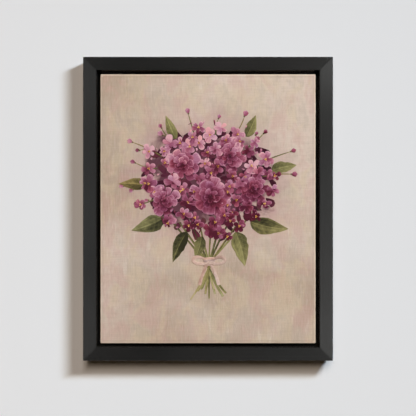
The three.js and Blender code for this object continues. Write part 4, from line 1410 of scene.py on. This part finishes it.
roses = []
for x, z, radius in ROSES:
    start = rng.uniform(0, 2 * math.pi)
    for i in range(ROSE_PETALS):
        out = 1 - i / ROSE_PETALS  # 1 at the rim, 0 in the heart
        angle = start + i * GOLDEN_TURN + rng.normal(0, 0.10)
        foot = beside(x, z, angle, radius * 0.40 * out**1.3)
        length = radius * (0.15 + 0.50 * out) * rng.uniform(0.88, 1.12)
        lit = 0.34 * (out - 0.45) + 0.20 * math.sin(angle + LIT_WAY)
        shade = lightness(x, z) - 0.06 + lit + rng.normal(0, 0.12)
        width, layer = length * rng.uniform(0.50, 0.74), (0.34 + 0.62 * (1 - out)) * MM
        bend, rim = rng.normal(0, 0.9) * MM, rng.uniform(0.3, 1.0)
        roses.append(dab(foot, angle, length, width, layer, 0.42 * MM, shade, bend=bend, cup=0.75, rim=rim))
print("rose petals", len(roses))

# %% Small blossoms with their centres
BLOSSOM_PETALS = 5
CENTRE_DABS = 3

blossoms, centres = [], []
for n, (x, z) in enumerate(places):
    radius = rng.uniform(5.4, 9.0) * MM
    start = rng.uniform(0, 2 * math.pi)
    lean = rng.uniform(0.55, 1.0)  # a blossom seen a little from the side is narrower one way
    lean_way = rng.uniform(0, math.pi)
    tint, rim = rng.normal(0.02, 0.16), rng.uniform(0, 1) ** 2
    layer = (0.30 + 0.013 * (n % 29)) * MM
    for i in range(BLOSSOM_PETALS):
        angle = start + i * 2 * math.pi / BLOSSOM_PETALS + rng.normal(0, 0.14)
        length = radius * rng.uniform(0.80, 1.12) * (1 - (1 - lean) * math.cos(angle - lean_way) ** 2)
        shade = lightness(x, z) + tint + 0.18 * math.sin(angle + LIT_WAY) + rng.normal(0, 0.11)
        width, over = length * rng.uniform(0.40, 0.56), layer + 0.02 * MM * i
        bend, notch = rng.normal(0, 0.6) * MM, rng.uniform(0, 0.2)
        shape = {"bend": bend, "notch": notch, "cup": 0.7, "rim": rim}
        blossoms.append(dab((x, z), angle, length, width, over, 0.36 * MM, shade, **shape))
    if n % 4:  # the others are seen from behind
        for i in range(CENTRE_DABS):
            angle, shade, over = start + i * 2.1, rng.uniform(0.1, 1.0), layer + 0.30 * MM
            foot = beside(x, z, angle, -0.45 * MM)
            centres.append(dab(foot, angle, 1.9 * MM, 0.8 * MM, over, 0.25 * MM, shade, rows=5))
print("blossom petals", len(blossoms), "centres", len(centres))

# %% Loose touches over the flowers, light ones and dark ones
TOUCHES_FROM = POSY - (0, 20 * MM)  # they point away from here, more or less

touches = []
for x, z in scattered(90, 4 * MM, 4.4):
    angle = math.atan2(z - TOUCHES_FROM[1], x - TOUCHES_FROM[0]) + rng.normal(0, 0.8)
    length, width = rng.uniform(2.5, 6.5) * MM, rng.uniform(0.6, 1.5) * MM
    shade = lightness(x, z) + rng.choice([-0.42, -0.2, 0.32, 0.45])
    touches.append(dab((x, z), angle, length, width, 0.62 * MM, 0.40 * MM, shade, rows=6, wobble=0.15, rim=0))
print("touches", len(touches))

# %% Sprays of buds
SPRAYS = [  # (angle in degrees, reach in shares of the posy's oval)
    (6, 1.20), (24, 1.30), (47, 1.16), (66, 1.26), (83, 1.12), (104, 1.24), (126, 1.17), (148, 1.31),
    (163, 1.12), (184, 1.24), (201, 1.10),
]
STALK = {"layer": 0.16 * MM, "height": 0.15 * MM, "shade": 0.35}

buds, stems, leaves, side_stalks = [], [], [], []
for degrees, reach in SPRAYS:
    angle = math.radians(degrees)
    half = POSY_HALF * (math.cos(angle), math.sin(angle))
    foot, top = POSY + 0.78 * half, POSY + reach * half
    bend = rng.normal(0, 2.4, 2) * MM
    middle = (foot + top) / 2 + bend
    stems.append(stroke([foot, middle, top], [0.7 * MM, 0.4 * MM], **STALK, rows=7))
    out = math.atan2(*(top - foot - bend)[::-1])
    outwards, sideways = np.array([math.cos(out), math.sin(out)]), np.array([-math.sin(out), math.cos(out)])
    spots = ((1.0, 0), (0.72, rng.choice([-1, 1])), (0.5, 0))  # (share of the stalk, side)
    for share, side in spots[: rng.integers(1, 4)]:
        place = foot + (top - foot) * share + sideways * side * 3.4 * MM
        if side:
            side_stalks.append([middle, place])
        size = rng.uniform(3.6, 6.4) * MM
        shade = lightness(*place) + rng.normal(0.0, 0.15)
        way = out + 0.5 * side
        for lean in (-1, 1, 0):
            length, layer = size * (1 - 0.12 * abs(lean)), (0.26 - 0.05 * abs(lean)) * MM
            buds.append(dab(place, way + 0.34 * lean, length, size * 0.30, layer, 0.38 * MM,
                            shade + 0.13 * lean, rows=6, cup=0.3, rim=0.2))
        leaves.append(dab(place - outwards * 0.9 * MM, way, 2.6 * MM, 0.9 * MM, 0.34 * MM, 0.2 * MM, 0.4,
                          rows=5, outline=leaf_width))
print("buds", len(buds))

# %% Stems
# Where each stem starts under the flowers, as x in metres, and how low its upper end may lie, as z.
STEMS_AT = (-0.036, -0.027, -0.016, -0.008, 0.003, 0.012, 0.019, 0.030, 0.038)
LOWEST_START = -0.014

for n, x in enumerate(STEMS_AT):
    layer = (0.20 + 0.035 * (n * 5 % 9)) * MM
    knot = (TIE[0] + 0.06 * x, TIE[1] + rng.normal(0, 0.8) * MM)
    end = (TIE[0] - 0.42 * x + rng.normal(0, 2.0) * MM, TIE[1] - rng.uniform(24, 37) * MM)
    wide = rng.uniform(0.8, 1.25) * MM
    # It starts well inside the posy's edge, under the blossoms.
    deep = POSY[1] - 0.80 * POSY_HALF[1] * math.sqrt(1 - (x / POSY_HALF[0]) ** 2)
    upper = [(x, max(deep, LOWEST_START)), (0.40 * x, -0.036), knot]
    lower = [knot, (TIE[0] - 0.06 * x, TIE[1] - 14 * MM), end]
    stems.append(stroke(upper, [0.8 * MM, wide], 0.25 * layer, 0.2 * MM, rng.uniform(0.1, 0.7)))
    stems.append(stroke(lower, [wide, 0.95 * wide], layer, 0.3 * MM, rng.uniform(0.25, 0.9), ends=0.8))
print("stems", len(stems))

# %% Leaves
LEAVES = [  # (x, z in metres, angle in degrees, length and bend in mm, half width as a share of the length)
    (-0.041, -0.008, 212, 33, -6, 0.24), (0.040, -0.012, -22, 36, 7, 0.23), (-0.058, 0.022, 168, 26, 4, 0.22),
    (0.060, 0.036, 22, 24, -4, 0.25), (-0.020, -0.022, 236, 31, 5, 0.21), (0.026, -0.022, -66, 33, -5, 0.24),
    (-0.030, 0.066, 121, 24, -3, 0.20), (0.036, 0.068, 58, 22, 3, 0.24), (-0.006, -0.026, 262, 22, -3, 0.25),
]
for n, (x, z, degrees, length, bend, wide) in enumerate(LEAVES):
    layer = (0.20 + 0.02 * (n % 3)) * MM
    shade = 0.42 + 3 * (z - 0.01) + rng.normal(0, 0.10)
    leaves.append(dab((x, z), math.radians(degrees), length * MM, length * wide * MM, layer, 0.34 * MM, shade,
                      rows=15, bend=bend * MM, cup=0.2, outline=leaf_width, wobble=0.05))
print("leaves", len(leaves))

# %% Tie
TIE_TURNS = 4
TIE_PITCH = 1.9 * MM
BOW_LOOP = ((0, 0), (0.016, 0.013), (0.023, -0.006), (0.001, -0.001))  # (out, up) from the knot
BOW_TAIL = ((0, 0), (0.006, -0.008), (0.009, -0.022))

tie = []
x, tie_z = TIE
for n in range(TIE_TURNS):
    z = tie_z + (n - (TIE_TURNS - 1) / 2) * TIE_PITCH
    turn = [(x - 5.4 * MM, z - 0.6 * MM), (x, z + 0.9 * MM), (x + 5.6 * MM, z + 0.2 * MM)]
    tie.append(stroke(turn, [1.1 * MM, 1.2 * MM], 0.62 * MM, 0.35 * MM, 0.35 + 0.2 * (n % 2), rows=9))
for side in (-1, 1):
    loop, tail = ([(x + side * out, tie_z + up) for out, up in shape] for shape in (BOW_LOOP, BOW_TAIL))
    widths = [1.0 * MM, 1.7 * MM, 1.0 * MM]
    tie.append(stroke(loop, widths, 0.66 * MM, 0.3 * MM, 0.55 - 0.1 * side, rows=18))
    tie.append(stroke(tail, [1.1 * MM, 1.6 * MM], 0.64 * MM, 0.3 * MM, 0.5 + 0.1 * side, ends=0.8))
for ends in side_stalks:
    stems.append(stroke(ends, [0.5 * MM, 0.35 * MM], **STALK, rows=5))
print("tie", len(tie), "short stalks", len(side_stalks))

# %% [markdown]
# ## Oil paint
# A loaded brush never lays down one colour. Each dab carries its own lightness, is darker at its foot and
# lighter at its tip, and shows the bristles as long streaks. The pattern reads the dab's own texture
# coordinates (u across from -1 to 1, v along from 0 to 1), and the same streaks raise the paint a little.
# The lightness also moves the streaks about, so that no two dabs are streaked alike.

# %% Paint finishes
WARM = (1.12, 0.95, 0.88, 1)
COOL = (0.93, 0.97, 1.06, 1)


def oil_paint(name, colours, tip=0.45, streaks=0.7, midrib=0.0):
    """Five colours from dark to light, picked by shade = the dab's own + tip (v - 1/2) + streaks, with a
    paler rim where the brush has pushed the paint aside."""
    f = Finish(name, Specular_IOR_Level=0.35)
    across, along, own = f.axis("X", at="uv"), f.axis("Y", at="uv"), f.value_of("shade")
    stretched = [f.maths("MULTIPLY", value, by) for value, by in ((across, 3.4), (along, 1.2), (own, 61))]
    place = f.add("ShaderNodeCombineXYZ", dict(enumerate(stretched)))
    hair = f.add("ShaderNodeTexNoise", {"Vector": place, "Scale": 1.0, "Detail": 4, "Roughness": 0.62})
    wide = f.noise(900, detail=2)
    patch = f.noise(230, detail=3)
    shade = f.swayed(f.swayed(f.swayed(own, along, tip), hair, streaks), patch, 0.7)
    from_middle = f.maths("ABSOLUTE", across)
    edge = f.maths("MAXIMUM", f.fit(from_middle, 0.62, 1.0), f.fit(along, 0.80, 1.0))
    shade = f.maths("MULTIPLY_ADD", f.maths("MULTIPLY", edge, f.value_of("rim")), 0.34, shade)
    if midrib:
        shade = f.maths("ADD", shade, f.fit(across, -0.14, 0.14, midrib, -midrib))
        rib = f.fit(from_middle, 0.03, 0.14, 0.26, 0)
        vein = f.maths("SINE", f.maths("MULTIPLY_ADD", from_middle, -9, f.maths("MULTIPLY", along, 46)))
        shade = f.maths("ADD", f.maths("ADD", shade, rib), f.fit(vein, 0.6, 1.0, 0, 0.08))
    colour = tone(colours[0])
    for code, low in zip(colours[1:], (0.0, 0.25, 0.52, 0.84)):
        colour = f.mix(f.fit(shade, low, low + 0.30), colour, tone(code))
    warm = f.value_of("warm")
    colour = f.mix(f.fit(warm, 0, 1), colour, WARM, blend="MULTIPLY")
    colour = f.mix(f.fit(warm, -1, 0, 1, 0), colour, COOL, blend="MULTIPLY")
    relief = f.bump(wide, 0.05 * MM, under=f.bump(hair, 0.16 * MM))
    return f.done(Base_Color=colour, Roughness=f.fit(hair, 0.3, 0.7, 0.44, 0.60), Normal=relief)


# %% The seven paints
plum = oil_paint("plum_paint", ["4a1626", "6f2c41", "934a62", "b4748a", "d8a3ac"], tip=0.62)
rose = oil_paint("rose_paint", ["521a2b", "7e374d", "9f5870", "bf8194", "dcaab2"])
shadow_paint = oil_paint("shadow_paint", ["35121f", "4c1c2d", "5f2a3a", "5a3f35", "6c5843"], streaks=0.9)
ochre = oil_paint("ochre_paint", ["5c2f1e", "96602c", "c48a3c", "dfae5a", "ecc884"])
olive = oil_paint("olive_paint", ["302d1c", "565233", "7b7449", "99915e", "bab17f"], midrib=0.10)
stalk = oil_paint("stalk_paint", ["3a3722", "5c5836", "7f794a", "9c9460", "bdb488"], midrib=0.08)
ribbon = oil_paint("ribbon_paint", ["86665a", "ab8a7c", "c9aa9b", "dcc4b6", "ecdccf"], tip=0.1)

for name, dabs, paint in (
    ("painted_shadows", under, shadow_paint),
    ("painted_leaves", leaves, olive),
    ("painted_stems", stems, stalk),
    ("painted_buds", buds, rose),
    ("painted_blossoms", blossoms, rose),
    ("painted_roses", roses, plum),
    ("painted_centres", centres, ochre),
    ("painted_touches", touches, rose),
    ("painted_tie", tie, ribbon),
):
    piece = build(name, dabs, [paint], smooth=math.radians(50))
    finish_piece(piece, "painted_canvas")
